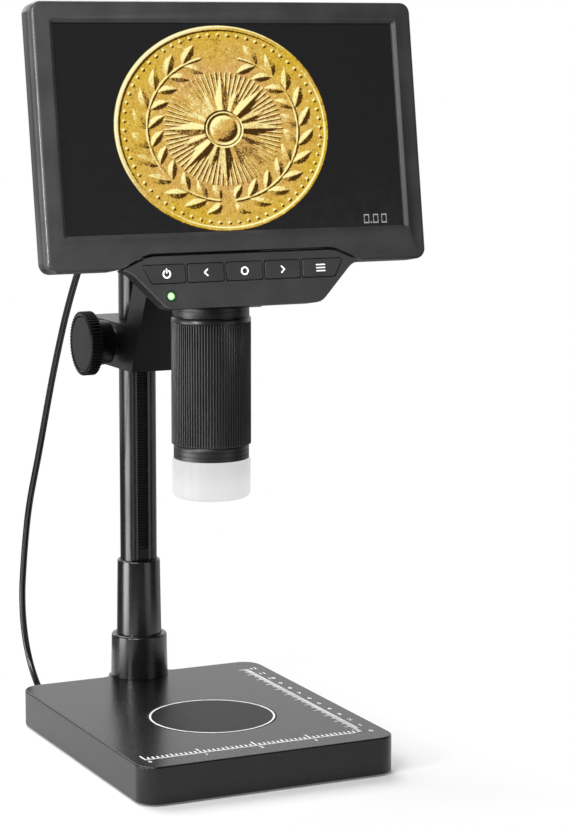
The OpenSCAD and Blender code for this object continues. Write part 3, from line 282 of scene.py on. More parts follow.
# %% Glass, frosted plastic and ink
lens_finish = Finish("coated_glass", (0.75, 0.85, 0.9), 0.03, Transmission_Weight=1.0, IOR=1.52,
                     Coat_Weight=0.5)
lens_finish["Roughness"] = lens_finish.place.noise(700, 3).ramp(0.35, 0.75, 0.02, 0.06)

# Painted light: the shade's Emission Color paints the glow of the lamps inside it, and its low Base Color
# keeps the outer lamps from shading it.
frosted_finish = Finish("frosted_plastic", (0.085, 0.085, 0.085), 0.5, IOR=1.46, Subsurface_Weight=0.5,
                        Subsurface_Radius=(0.006, 0.006, 0.006), Specular_IOR_Level=0.2,
                        Emission_Strength=0.69)
frost = frosted_finish.place.noise(2600, 3)
# Painted shade: the glow is made darker towards the shade's top.
painted_shade_top = frosted_finish.place.parts()[2].ramp(0.1185, 0.131, 1.0, 0.84)
frosted_finish["Base Color"] = frosted_finish.place.stretch(300, 300, 12).noise(1, 2).ramp(0.3, 0.7).mix(
    (0.075, 0.075, 0.075), (0.095, 0.095, 0.095))
frosted_finish["Roughness"] = frost.ramp(0.3, 0.7, 0.42, 0.58)
frosted_finish["Emission Color"] = ((frost - 0.5) * 0.05 + painted_shade_top).mix((0, 0, 0), (1.0, 1.0, 1.0))
frosted_finish.bump(frost, 0.00003, 0.4)

INK_WHITE = (0.93, 0.93, 0.92)
white_ink = Finish("white_ink", INK_WHITE, 0.5)
white_ink["Base Color"] = white_ink.place.noise(2200, 3).ramp(0.25, 0.6).mix([c * 0.82 for c in INK_WHITE],
                                                                            INK_WHITE)
print("glass, shade and ink ready")

# %% [markdown]
# The solids that keep their own shape take the finish of their slot. The finish is given to the object's
# material slots, and the mesh itself isn't touched.

# %% Dress the solids that stay
FINISH_OF_SLOT = {
    "body_plastic": body_finish, "gloss_black": gloss_finish, "fascia": fascia_finish,
    "post_black": post_finish, "rack_black": rack_finish, "rubber": rubber_finish, "cord": jacket_finish,
    "steel": steel_finish, "alloy": alloy_finish, "brass": brass_finish, "liner": liner_finish,
    "board": board_finish, "lamp": lamp_finish, "frosted": frosted_finish, "lens": lens_finish,
    "screen": gloss_finish, "panel_metal": panel_metal_finish, "cell": cell_finish,
    "status": status_finish}
unmatched, slot_of = [], {}
for name, piece in nodes.items():
    for held in piece.material_slots:
        slot = slot_of[name] = held.material.name.split(".")[0] if held.material else ""
        if slot in FINISH_OF_SLOT:
            held.material = FINISH_OF_SLOT[slot].material
        else:
            unmatched.append((name, slot))
slot_of["weigh_pan"] = "body_plastic"  # the pan is of the base's plastic
knob_finish = moulded("knob_plastic", (0.004, 0.004, 0.0044), 0.36, Specular_IOR_Level=0.18)
for name, finish in (("shaft_bushes", bush_finish), ("knob_caps", knob_finish)):
    for held in nodes[name].material_slots:
        held.material = finish.material
print("dressed", len(nodes) - len(unmatched), "solids, without a finish:", unmatched)

# %% [markdown]
# Real mouldings have small radii on their edges, and those edges catch the light. A solid has sharp ones.
# So a copy of the solid has its loose triangles merged, flat faces joined, and a Bevel on every edge
# sharper than a limit. The copy stands for the solid, which stays hidden for the physics.

# %% Helpers that make and place a piece
BODY_OF = {node: body for body, members in frame["record"]["behaviour"]["bodies"].items() for node in members}
SHARP = math.radians(35)  # an edge sharper than this is rounded


def add_piece(name, mesh, finish, body, smooth=None):
    """A new piece in the scene, with its finish, riding on a body."""
    piece = placed(name, mesh)
    piece.data.materials.clear()
    piece.data.materials.append(finish.material)
    if smooth is not None:
        piece.data.shade_smooth()
        piece.data.set_sharp_from_angle(angle=math.radians(smooth))
    if body:
        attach(piece, body)
    print(name, "faces", len(mesh.polygons))
    return piece


def opened(*meshes):
    """Meshes opened together for editing."""
    work = bmesh.new()
    for mesh in meshes:
        work.from_mesh(mesh)
    return work


def as_mesh(work, name, outwards=True, place=None):
    """A new mesh of edited faces, which are turned outwards, in its place."""
    if outwards:
        bmesh.ops.recalc_face_normals(work, faces=work.faces)
    mesh = bpy.data.meshes.new(name)
    work.to_mesh(mesh)
    work.free()
    return moved(mesh, place) if place else mesh


def moved(mesh, place):
    mesh.transform(place)
    return mesh


def joined(*meshes):
    """Several meshes as one."""
    return as_mesh(opened(*meshes), "joined", outwards=False)


def skin(work, rows, caps=False, closed=False):
    """Faces between rows of points, all closed round, and over the ends. A row may be a single point."""
    sides = max(map(len, rows))
    for a, b in [*zip(rows, rows[1:])] + ([(rows[-1], rows[0])] if closed else []):
        for k in range(sides):
            n = (k + 1) % sides
            corners = dict.fromkeys((a[k % len(a)], a[n % len(a)], b[n % len(b)], b[k % len(b)]))
            if len(corners) > 2:
                work.faces.new(tuple(corners))
    if caps:
        work.faces.new(rows[0][::-1])
        work.faces.new(rows[-1])


def merged_copy(node):
    """A copy of a solid's mesh with its triangles merged into whole faces."""
    mesh = nodes[node].data.copy()
    work = opened(mesh)
    bmesh.ops.remove_doubles(work, verts=work.verts, dist=2e-6)
    bmesh.ops.dissolve_limit(work, angle_limit=math.radians(0.6), verts=work.verts, edges=work.edges)
    work.to_mesh(mesh)
    work.free()
    for layer in list(mesh.uv_layers):
        mesh.uv_layers.remove(layer)
    return mesh


def plain_mesh(piece, *helpers):
    """The piece's mesh with its modifiers applied. The piece and its helpers go."""
    mesh = bpy.data.meshes.new_from_object(piece.evaluated_get(bpy.context.evaluated_depsgraph_get()))
    for done in (piece, *helpers):
        bpy.data.objects.remove(done)
    return mesh


def soften(node, finish, width, spare=None, reshape=None):
    """Replaces a solid by a copy whose sharp edges are rounded, except where spare(place in mm) is true."""
    mesh = merged_copy(node)
    work = opened(mesh)
    if reshape:
        reshape(work)
    share = work.edges.layers.float.new("bevel_weight_edge")
    for edge in work.edges:
        if edge.calc_face_angle(0) > SHARP:
            middle = (edge.verts[0].co + edge.verts[1].co) / 2 / MM
            edge[share] = 0.0 if spare and spare(middle) else 1.0
    work.to_mesh(mesh)
    work.free()
    draft = placed(node + "_draft", mesh)
    draft.data.shade_smooth()
    bevel = draft.modifiers.new("edge_radius", "BEVEL")
    bevel.width = width * MM
    bevel.segments = 2
    bevel.limit_method = "WEIGHT"
    bevel.miter_outer = "MITER_ARC"
    draft.modifiers.new("flat_faces_rule", "WEIGHTED_NORMAL").keep_sharp = True
    piece = add_piece("soft_" + node, plain_mesh(draft), finish, BODY_OF[node])
    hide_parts(node)
    return piece


print("bodies:", sorted(set(BODY_OF.values())))

# %% Soften the outer mouldings
SOFT = {
    "base_housing": (body_finish, 0.45), "lower_collar": (collar_finish, 0.25),
    "upper_collar": (collar_finish, 0.2), "post_cap": (body_finish, 0.5), "head_housing": (arm_painted_shade_finish, 0.4),
    "head_cover": (arm_painted_shade_finish, 0.5), "control_panel": (fascia_finish, 0.25),
    "display_bezel": (fascia_finish, 0.5), "rear_shell": (case_finish, 0.4), "post": (post_finish, 0.2),
    **{key + "_button": (key_finish, 0.22) for key in ("power", "left", "ok", "right", "menu")},
    "nose_ring": (nose_finish, 0.2), "weigh_pan": (pan_finish, 0.15)}  # finish, radius in mm


def by_picture(place):
    """True on the sloping rim round the picture, which is made on its own below."""
    return abs(place.x) < 79.3 and abs((TO_SCREEN @ (place * MM)).y) < 45.2 * MM


def round_back(work):
    """Draws the slide block's back out behind the post and rounds its two upright corners."""
    half, face, extra, radius = 14.5 * MM, 81 * MM, 11 * MM, 7 * MM
    near = 0.5 * MM
    back = [v for v in work.verts if v.co.y > face - near and 163 * MM < v.co.z < 184.3 * MM
            and abs(v.co.x) < half + near]
    for v in back:
        v.co.y += extra
    upright = [e for e in work.edges if all(v in back and abs(v.co.x) > half - near for v in e.verts)
               and abs(e.verts[0].co.z - e.verts[1].co.z) > 10 * MM]
    bmesh.ops.bevel(work, geom=upright, offset=radius, segments=6, profile=0.5, affect="EDGES")
    print("block corners rounded:", len(upright))


def on_base_edge(place):
    """True on the base's outer top edge, which the solid already rounds."""
    return 16.3 < place.z < 16.95


SPARE = {"display_bezel": by_picture, "base_housing": on_base_edge}
RESHAPE = {"head_housing": round_back}
softened = {node: soften(node, finish, width, SPARE.get(node), RESHAPE.get(node))
            for node, (finish, width) in SOFT.items()}
print("softened", len(softened), "solids")

# %% [markdown]
# The picture sits behind a sloping rim with a fine radius at its top and round inner corners. Bevelling the
# copied mitre would pinch its corners, so its faces are taken out and a rim is lofted in their place: a row
# of rounded rectangles, each a little smaller and deeper than the last. The outermost keeps the square
# corners of the opening.

# %% Rim round the picture
WINDOW = (154.7, 86.5)


def arc(radius, start, end, count, x=0, y=0):
    """Points on an arc round x, y, from one angle to another."""
    return [(x + radius * math.cos(a), y + radius * math.sin(a))
            for a in np.radians(np.linspace(start, end, count))]


def rounded_ring(width, height, radius, depth, steps=5):
    """Points of a rounded rectangle, steps + 1 at each corner, even where the radius is nothing."""
    return [(x, y, -depth) for sx, sy, start in ((1, 1, 0), (-1, 1, 90), (-1, -1, 180), (1, -1, 270))
            for x, y in arc(radius, start, start + 90, steps + 1, sx * (width / 2 - radius),
                            sy * (height / 2 - radius))]


def lofted(rings, place):
    """Faces between rows of points, all closed round, in millimetres."""
    work = bmesh.new()
    skin(work, [[work.verts.new(Vector(p) * MM) for p in ring] for ring in rings])
    bmesh.ops.remove_doubles(work, verts=work.verts, dist=1e-7)
    return as_mesh(work, "lofted", outwards=False, place=place)


RIM = [(1.8, 0, 0), (1.74, 1.9, 0), (1.5, 1.7, 0.06), (1.3, 1.5, 0.17), (0.22, 0.6, 0.90), (0.06, 0.45, 1.03),
       (0, 0.4, 1.2), (0, 0.4, 2.2)]
rim = lofted([rounded_ring(WINDOW[0] + 2 * out, WINDOW[1] + 2 * out, r, depth) for out, r, depth in RIM],
             SCREEN_PLACE)
bezel = softened["display_bezel"]
work = opened(bezel.data)
half_w, half_h = ((size / 2 + 1.85) * MM for size in WINDOW)
sloped = [f for f in work.faces if all(abs(q.x) < half_w and abs(q.y) < half_h and q.z > -2.25 * MM
                                       for q in (TO_SCREEN @ v.co for v in f.verts))]
bmesh.ops.delete(work, geom=sloped, context="FACES")
work.from_mesh(rim)
work.to_mesh(bezel.data)
work.free()
print("taken out", len(sloped), "faces, rim faces", len(rim.polygons))

# %% [markdown]
# The bezel's outer chamfer is polished, so it shines beside the matte face. It is the same moulding, so its
# faces, the ones that lean outwards outside the window, only get a second finish.

# %% Polish the outer chamfer
SIDE, TOP, FOOT = 82.5 * MM, 47.5 * MM, -53.5 * MM  # where the flat face ends
LEAN = (0.15, 0.96)  # cosines of the steepest and the flattest face that still belongs to the chamfer
bezel.data.materials.append(edge_finish.material)
polished = 0
for face in bezel.data.polygons:
    middle, lean = TO_SCREEN @ face.center, (TO_SCREEN.to_3x3() @ face.normal).z
    if LEAN[0] < lean < LEAN[1] and (abs(middle.x) > SIDE or not FOOT <= middle.y <= TOP):
        face.material_index = 1
        polished += 1
print("polished faces:", polished)

# %% [markdown]
# The link cable leaves the plug in the head's left side, bends over, and drops behind the arm to a plug in
# the base's back. It is 3 mm thick. A smooth curve runs through the solid's own row of points, and a round
# tube is swept along it.

# %% The cable's route
CABLE_POINTS = [(-38.2, 7, 223), (-41.5, 7.1, 222.9), (-45.2, 9, 220), (-47.5, 13, 215), (-48, 17, 210),
                (-48, 27, 197), (-47.5, 37.5, 183), (-47, 52, 160), (-46.5, 71, 125), (-46, 88, 94),
                (-45.5, 98, 62), (-45, 100.5, 45), (-44, 100, 31), (-43, 96.5, 20), (-42.3, 91, 12.5),
                (-42, 86.5, 9.2), (-42, 82, 8.5)]
CABLE_R = 1.5 * MM


def smooth_route(points, parts):
    """Points along a Catmull-Rom curve through the given ones."""
    p = [np.array(q, float) for q in points]
    p = [p[0] * 2 - p[1]] + p + [p[-1] * 2 - p[-2]]
    route = []
    for i in range(1, len(p) - 2):
        for k in range(parts):
            t = k / parts
            route.append(0.5 * (2 * p[i] + (p[i + 1] - p[i - 1]) * t
                                + (2 * p[i - 1] - 5 * p[i] + 4 * p[i + 1] - p[i + 2]) * t * t
                                + (3 * p[i] - 3 * p[i + 1] + p[i + 2] - p[i - 1]) * t ** 3))
    return np.array(route + [p[-2]])


route = smooth_route(CABLE_POINTS, 8) * MM


# %% Sweep the tube
def swept(points, radius, sides):
    """A closed round tube along points, without twist."""
    tangents = np.gradient(points, axis=0)
    tangents /= np.linalg.norm(tangents, axis=1)[:, None]
    side = np.cross(tangents[0], (0, 0, 1.0))
    work = bmesh.new()
    rings = []
    for place, tangent in zip(points, tangents):
        side = side - tangent * side.dot(tangent)
        side /= np.linalg.norm(side)
        other = np.cross(tangent, side)
        rings.append([work.verts.new(place + radius * (math.cos(a) * side + math.sin(a) * other))
                      for a in np.arange(sides) * 2 * math.pi / sides])
    skin(work, rings, caps=True)
    return as_mesh(work, "swept")


cable = add_piece("black_link_cable", swept(route, CABLE_R, 20), jacket_finish, None, smooth=60)
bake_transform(cable)
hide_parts("link_cable")

# %% [markdown]
# Many parts are turned: rings, knobs, the shade. A turned part is one profile spun round an axis, so a
# helper takes the profile as pairs of radius and height and makes the rings of faces itself.

# %% Turned parts
def turned(profile, sides, place=None):
    """A mesh of revolution about Z from a closed profile of (radius, height) in millimetres."""
    work = bmesh.new()
    circle = np.arange(sides) * 2 * math.pi / sides
    rings = [[work.verts.new((radius * MM * math.cos(a), radius * MM * math.sin(a), height * MM))
              for a in (circle if radius > 1e-6 else [0])] for radius, height in profile]
    skin(work, rings, closed=profile[0][0] > 1e-6 and profile[-1][0] > 1e-6)
    return as_mesh(work, "turned", place=place)


def at(x, y, z, *turns):
    """A place in millimetres, with turns as (degrees, axis)."""
    place = Matrix.Translation(Vector((x, y, z)) * MM)
    for degrees, axis in turns:
        place = place @ Matrix.Rotation(math.radians(degrees), 4, axis)
    return place


shade_profile = [(12.75, 115), *arc(3, -90, 0, 9, 13.95, 118), (16.95, 131.6), (16.7, 132.1), (15.35, 132.1),
                 (15.35, 118.4), (12.75, 116.4)]
shade = add_piece("frosted_shade", turned(shade_profile, 96, at(*TUBE, 0)), frosted_finish, "carriage",
                  smooth=35)
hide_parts("light_shade")

# %% [markdown]
# A narrow turned trim covers the tube's collar above the focus ring, and another one, with two fine
# grooves, covers the nose below it. The grooves could be a bump in the finish, but as real steps they also
# catch the light.

# %% Trims above and below the focus ring
TRIMS = {
    "collar_trim": ("head_housing", [
        (16.2, 194.0), (16.4, 194.05), (16.5, 194.3), (16.5, 196.6), (16.36, 196.7), (16.36, 196.95),
        (16.5, 197.05), (16.5, 198.3), (16.35, 198.5), (16.2, 198.5)]),
    "nose_trim": ("nose_ring", [
        (15.9, 132.3), (16.3, 132.4), (16.3, 134.0), (16.08, 134.1), (16.08, 134.45), (16.3, 134.55),
        (16.3, 136.1), (16.08, 136.2), (16.08, 136.55), (16.3, 136.65), (16.3, 137.7), (16.1, 138.1),
        (15.9, 138.1)])}
for name, (owner, profile) in TRIMS.items():
    add_piece(name, turned(profile, 112, at(*TUBE, 0)), nose_finish, BODY_OF[owner],
              smooth=30)

# %% [markdown]
# The focus ring has 88 fine ribs all round. One rib is modelled, and Geometry Nodes sets it on every point
# of a circle. The rib, how many, the radius and the finish are inputs, so the knobs' grips use the same tree.

# %% A tree that sets pieces round a circle
def start_tree(name, inputs):
    """A new tree, the keys of its named inputs, and the node that gives them."""
    tree = bpy.data.node_groups.new(name, "GeometryNodeTree")
    add = tree.interface.new_socket
    keys = {label: add(label, in_out="INPUT", socket_type="NodeSocket" + kind).identifier
            for label, kind in inputs.items()}
    add("Geometry", in_out="OUTPUT", socket_type="NodeSocketGeometry")
    return tree, keys, tree.nodes.new("NodeGroupInput").outputs


def finish_tree(tree, given, points, **instance):
    """Ends a tree: its piece on every point, as real faces in its finish."""
    make, link = tree.nodes.new, tree.links.new
    piece, spread = make("GeometryNodeObjectInfo"), make("GeometryNodeInstanceOnPoints")
    real, paint = make("GeometryNodeRealizeInstances"), make("GeometryNodeSetMaterial")
    link(given["Piece"], piece.inputs["Object"])
    for label, socket in {"Points": points, "Instance": piece.outputs["Geometry"], **instance}.items():
        link(socket, spread.inputs[label])
    link(spread.outputs[0], real.inputs[0])
    link(real.outputs[0], paint.inputs["Geometry"])
    link(given["Finish"], paint.inputs["Material"])
    link(paint.outputs[0], make("NodeGroupOutput").inputs[0])


def ring_tree():
    tree, keys, given = start_tree("pieces_round_a_circle", {
        "Piece": "Object", "Count": "Int", "Radius": "Float", "Finish": "Material"})
    make, link = tree.nodes.new, tree.links.new
    circle, where = make("GeometryNodeMeshCircle"), make("GeometryNodeInputPosition")
    face_out = make("FunctionNodeAlignRotationToVector")
    face_out.axis, face_out.pivot_axis = "X", "Z"
    link(given["Count"], circle.inputs["Vertices"])
    link(given["Radius"], circle.inputs["Radius"])
    link(where.outputs[0], face_out.inputs["Vector"])
    finish_tree(tree, given, circle.outputs[0], Rotation=face_out.outputs[0])
    return tree, keys


def grow(kit, shape, values):
    """Runs a tree on an empty piece, with a shape for it to repeat, and gives the plain mesh."""
    tree, keys = kit
    pattern, holder = placed("pattern", shape), placed("holder", bpy.data.meshes.new("holder"))
    modifier = holder.modifiers.new("grow", "NODES")
    modifier.node_group = tree
    for label, value in {"Piece": pattern, **values}.items():
        modifier[keys[label]] = value
    return plain_mesh(holder, pattern)


ring_kit = ring_tree()
print("ring inputs:", list(ring_kit[1]))


# %% One rib, and the ribs of the focus ring
def bar(outline, length, end=0.15):
    """A bar along Z from an outline in X and Y, with its ends slightly drawn in, in millimetres."""
    work = bmesh.new()
    layers = [(0, 1 - 2 * end), (end, 1), (length - end, 1), (length, 1 - 2 * end)]
    rings = [[work.verts.new((x * (s if x > 0 else 1) * MM, y * s * MM, z * MM)) for x, y in outline]
             for z, s in layers]
    skin(work, rings, caps=True)
    return as_mesh(work, "bar")


def round_of(outline, length, count, radius, finish):
    """The mesh of a bar set count times round a circle of that radius."""
    return grow(ring_kit, bar(outline, length), {"Count": count, "Radius": radius * MM,
                                                  "Finish": finish.material})


grip_finish = moulded("ribbed_grip_rubber", (0.019, 0.019, 0.0195), 0.32, grain=4200)
RIB = [(-0.3, -0.34), *arc(0.3, -90, 90, 7, 0.2), (-0.3, 0.34)]
ribs = round_of(RIB, 52.8, 88, 16.7, grip_finish)
ribs.transform(at(*TUBE, 138.6))
sleeve = turned([(14.6, 138.4), (16.4, 138.4), (16.6, 138.7), (16.6, 191.3), (16.95, 191.4), (17.2, 191.6),
                 (17.2, 192.7), (17.05, 193.2), (16.75, 193.6), (14.6, 193.6)], 176, at(*TUBE, 0))

focus_ring = add_piece("ribbed_focus_ring", joined(sleeve, ribs), grip_finish, "ring",
                       smooth=40)
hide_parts("focus_ring")

# %% [markdown]
# A focus knob is turned too: a hub that widens to a broad rim, 56 grips round the rim, and an inset cap.
# The two knobs are one mesh made twice, the second turned to face the other way, so nothing is mirrored or
# inside out.

# %% The focus knobs
KNOB = [(1.6, 0.1), (8, 0), (9.5, 0.5), (9.8, 1.2), (10.4, 7.6), (10.8, 7.95), (12.7, 8.0), (13.3, 8.15),
        (13.65, 8.6), (13.7, 9.0), (13.7, 13.0), (13.6, 13.4), (13.3, 13.75), (12.9, 13.9), (12.5, 13.88),
        (12.3, 13.7), (12.3, 12.5), (0, 12.5)]
GRIP = [(-0.4, -0.42), (0.5, -0.34), (0.72, -0.2), (0.79, 0), (0.72, 0.2), (0.5, 0.34), (-0.4, 0.42)]
for side, body_node in ((-1, "left_knob"), (1, "right_knob")):
    place = at(side * 17.2, 57.4, 175, (side * 90, "Y"))
    grips = round_of(GRIP, 5.3, 56, 13.7, knob_finish)
    grips.transform(place @ at(0, 0, 8.35))
    knob = add_piece(body_node + "_turned", joined(turned(KNOB[::-1], 112, place), grips), knob_finish,
                     "focus_drive", smooth=40)
    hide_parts(body_node)

# %% [markdown]
# The base carries two printed scales, inches along the front and millimetres along the right side. Ticks
# repeat at a step, with some of them longer, which is a rule a Geometry Nodes tree states in a few nodes.
# Ink is a film, so each tick is a twentieth of a millimetre thick.

# %% A tree that prints a row of ticks
def tick_tree():
    lengths = ("Short", "Middle", "Long")
    tree, keys, given = start_tree("row_of_ticks", {
        "Piece": "Object", "Count": "Int", "Step": "Vector", "Long every": "Int", "Middle every": "Int",
        **dict.fromkeys(lengths, "Float"), "Finish": "Material"})
    make, link = tree.nodes.new, tree.links.new
    line, index = make("GeometryNodeMeshLine"), make("GeometryNodeInputIndex").outputs[0]
    link(given["Count"], line.inputs["Count"])
    link(given["Step"], line.inputs["Offset"])
    length = given["Short"]
    for label in lengths[1:]:
        rest, first, switch = make("ShaderNodeMath"), make("ShaderNodeMath"), make("GeometryNodeSwitch")
        rest.operation, first.operation, switch.input_type = "MODULO", "LESS_THAN", "FLOAT"
        first.inputs[1].default_value = 0.5
        for start, end in ((index, rest.inputs[0]), (given[label + " every"], rest.inputs[1]),
                           (rest.outputs[0], first.inputs[0]), (first.outputs[0], switch.inputs["Switch"]),
                           (length, switch.inputs["False"]), (given[label], switch.inputs["True"])):
            link(start, end)
        length = switch.outputs[0]
    size = make("ShaderNodeCombineXYZ")
    size.inputs[0].default_value = size.inputs[2].default_value = 1
    link(length, size.inputs[1])
    finish_tree(tree, given, line.outputs[0], Scale=size.outputs[0])
    return tree, keys


tick_kit = tick_tree()
print("tick inputs:", list(tick_kit[1]))

# %% [markdown]
# The numbers are Blender's own plain font. A text is made a mesh first, and only then moved to its place,
# because a finished piece has its place in its mesh.

# %% Ink shapes, numbers and strokes
INK = 0.05


def slab(outline, low=0, high=INK):
    """A flat plate from an outline in X and Y, in millimetres."""
    work = bmesh.new()
    skin(work, [[work.verts.new((x * MM, y * MM, z * MM)) for x, y in outline] for z in (low, high)],
         caps=True)
    return as_mesh(work, "slab")


def plate(x0, y0, x1, y1):
    return slab([(x0, y0), (x1, y0), (x1, y1), (x0, y1)])


def stroke(points, width):
    """Flat plates along a line, with a round spot at each corner."""
    half = width / 2
    parts = []
    for (ax, ay), (bx, by) in zip(points, points[1:]):
        long = math.hypot(bx - ax, by - ay)
        sx, sy = -(by - ay) / long * half, (bx - ax) / long * half
        parts.append(slab([(ax + sx, ay + sy), (ax - sx, ay - sy), (bx - sx, by - sy), (bx + sx, by + sy)]))
    return joined(*parts, *[slab(arc(half, 0, 330, 12, x, y)) for x, y in points])


def number(digits, height, place):
    """A printed number centred on its place, which is a matrix."""
    curve = bpy.data.curves.new("digits", "FONT")
    curve.body = digits
    curve.size = height * 1.37 * MM
    curve.align_x = curve.align_y = "CENTER"
    curve.extrude = INK / 2 * MM
    curve.offset = height * 0.03 * MM
    curve.resolution_u = 3
    return moved(plain_mesh(placed("digits", curve)), place @ at(0, 0, INK / 2))


print("a number has", len(number("8", 2, at(0, 0, 0)).polygons), "faces")

# %% The two scales and the ring on the base
SCALE_X, SCALE_Y = 48.7, -68.7  # where the two scales meet
INCH = 25.4


def ticks(place, count, step, width, every, lengths):
    """A row of ticks along X. Every gives the long and the middle ones, and lengths are short to long."""
    values = {"Count": count, "Step": (step * MM, 0, 0), "Finish": white_ink.material,
              **dict(zip(("Long every", "Middle every"), every)),
              **dict(zip(("Short", "Middle", "Long"), lengths))}
    return moved(grow(tick_kit, plate(-width / 2, 0, width / 2, 1), values), place)


inch_place = at(SCALE_X - 4 * INCH, SCALE_Y, BASE_TOP)
inch_scale = joined(
    ticks(inch_place, 49, INCH / 12, 0.72, (12, 6), (3.2, 3.8, 6.2)),
    moved(plate(-0.36, -0.36, 4 * INCH + 0.36, 0.36), inch_place),
    *[number(str(k), 2.3, inch_place @ at(k * INCH + 0.8, -3.2, 0)) for k in range(4)])
side_place = at(SCALE_X, SCALE_Y, BASE_TOP, (90, "Z"))
side_scale = joined(
    ticks(side_place, 121, 1.0, 0.5, (10, 5), (2.0, 3.2, 4.3)),
    moved(plate(-0.3, -0.42, 120.3, 0.42), side_place),
    *[number(str(k), 2.7, at(SCALE_X + 3.3, SCALE_Y + 10 * k, BASE_TOP)) for k in range(13)])
pan_ring = turned([(26.8, 0), (27.7, 0), (27.7, INK), (26.8, INK)], 128, at(*TUBE, BASE_TOP))
for name, mesh, body in (("inch_scale", inch_scale, "stand"), ("millimetre_scale", side_scale, "stand"),
                         ("printed_pan_ring", pan_ring, "pan")):
    add_piece(name, mesh, white_ink, body)

# %% [markdown]
# Each key carries a plain sign instead of a word: a power sign, two arrows, a ring and three bars. They are
# drawn in the plane of the key's face, which leans back by nine degrees with the screen.

# %% Signs on the keys
KEY_MID = -60.15


SIGNS = {
    "power": (-35.2, joined(stroke(arc(1.55, 125, 415, 24), 0.62), stroke([(0, 0.45), (0, 2.0)], 0.62))),
    "left": (-17.5, stroke([(0.6, 1.3), (-0.8, 0), (0.6, -1.3)], 0.6)),
    "ok": (0, stroke(arc(1.45, 0, 360, 30), 0.62)),
    "right": (17.5, stroke([(-0.6, 1.3), (0.8, 0), (-0.6, -1.3)], 0.6)),
    "menu": (35.2, joined(*[stroke([(-1.9, v), (1.9, v)], 0.55) for v in (-1.3, 0, 1.3)]))}
for key, (across, mesh) in SIGNS.items():
    add_piece("sign_" + key, moved(mesh, SCREEN_PLACE @ at(across, KEY_MID, 0.5)), sign_finish,
              key + "_key")

# %% [markdown]
# The screws that show have a low domed head with a cross in it. The head is turned, a Boolean cuts the
# cross, and the result is copied to each place. A painted cross would look flat from the side.

# %% Cross-head screws
steel_dark = worked_metal("blackened_screw_steel", (0.10, 0.10, 0.105), 0.36, (300, 300, 300))


def cross_head(radius):
    """A domed screw head with a cross cut in it, its top towards +Z and its foot at 0."""
    arm, half = radius * 0.62, 0.24
    head = placed("pattern", turned([(0, -0.6), (radius, -0.6), (radius, 0.05), (radius * 0.93, 0.2),
                                     (radius * 0.7, 0.34), (radius * 0.35, 0.42), (0, 0.45)], 40))
    corner, outline = [(arm, half), (half, half), (half, arm)], []
    for _ in range(4):
        outline += corner
        corner = [(-y, x) for x, y in corner]
    cross = placed("pattern", slab(outline, high=1))
    cut = head.modifiers.new("cross", "BOOLEAN")
    cut.operation, cut.solver, cut.object = "DIFFERENCE", "EXACT", cross
    return plain_mesh(head, cross)


CASE_BACK = -16.85
head_form = cross_head(2.25)
heads = [moved(head_form.copy(), SCREEN_PLACE @ at(u, v, CASE_BACK, (180, "X")))
         for u in (-70, 70) for v in (-46, 40.8)]
add_piece("case_screw_heads", joined(*heads), steel_dark, "display", smooth=30)

# %% [markdown]
# Where the cable enters a plug, a short ribbed boot keeps it from kinking. Both are one turned profile.

# %% Boots of the plugs
BOOT = [(1.45, 0), (2.7, 0), (2.8, 0.2), (2.8, 0.9), (2.42, 1.0), (2.42, 1.3), (2.62, 1.4), (2.62, 2.0),
        (2.25, 2.1), (2.25, 2.4), (2.45, 2.5), (2.45, 3.1), (2.05, 3.2), (2.05, 3.5), (2.2, 3.6),
        (1.9, 4.3), (1.5, 4.4)]
boots = [add_piece(name, turned(BOOT, 40, place), rubber_finish, body, smooth=35)
         for name, place, body in (("head_plug_boot", at(-38.0, 7, 223, (-90, "Y")), "carriage"),
                                   ("base_plug_boot", at(-42, 82, 8.5, (-90, "X")), "stand"))]

# %% [markdown]
# The screen shows an enlarged coin on dark grey. A screen makes its own light, so the picture is the
# Emission Color of the cover window's finish. The coin is drawn by rule: a height is written as arithmetic
# on the place in the picture, and its difference between two close places is light and shadow, as on a
# stamped relief.

# %% The height of the coin's relief
BEADS, LEAVES, RAYS = 64, 24, 72
BEAD_ROW, WREATH, STAR = 0.91, 0.70, 0.24  # radii of the beads, the leaves' stem and the star's valleys


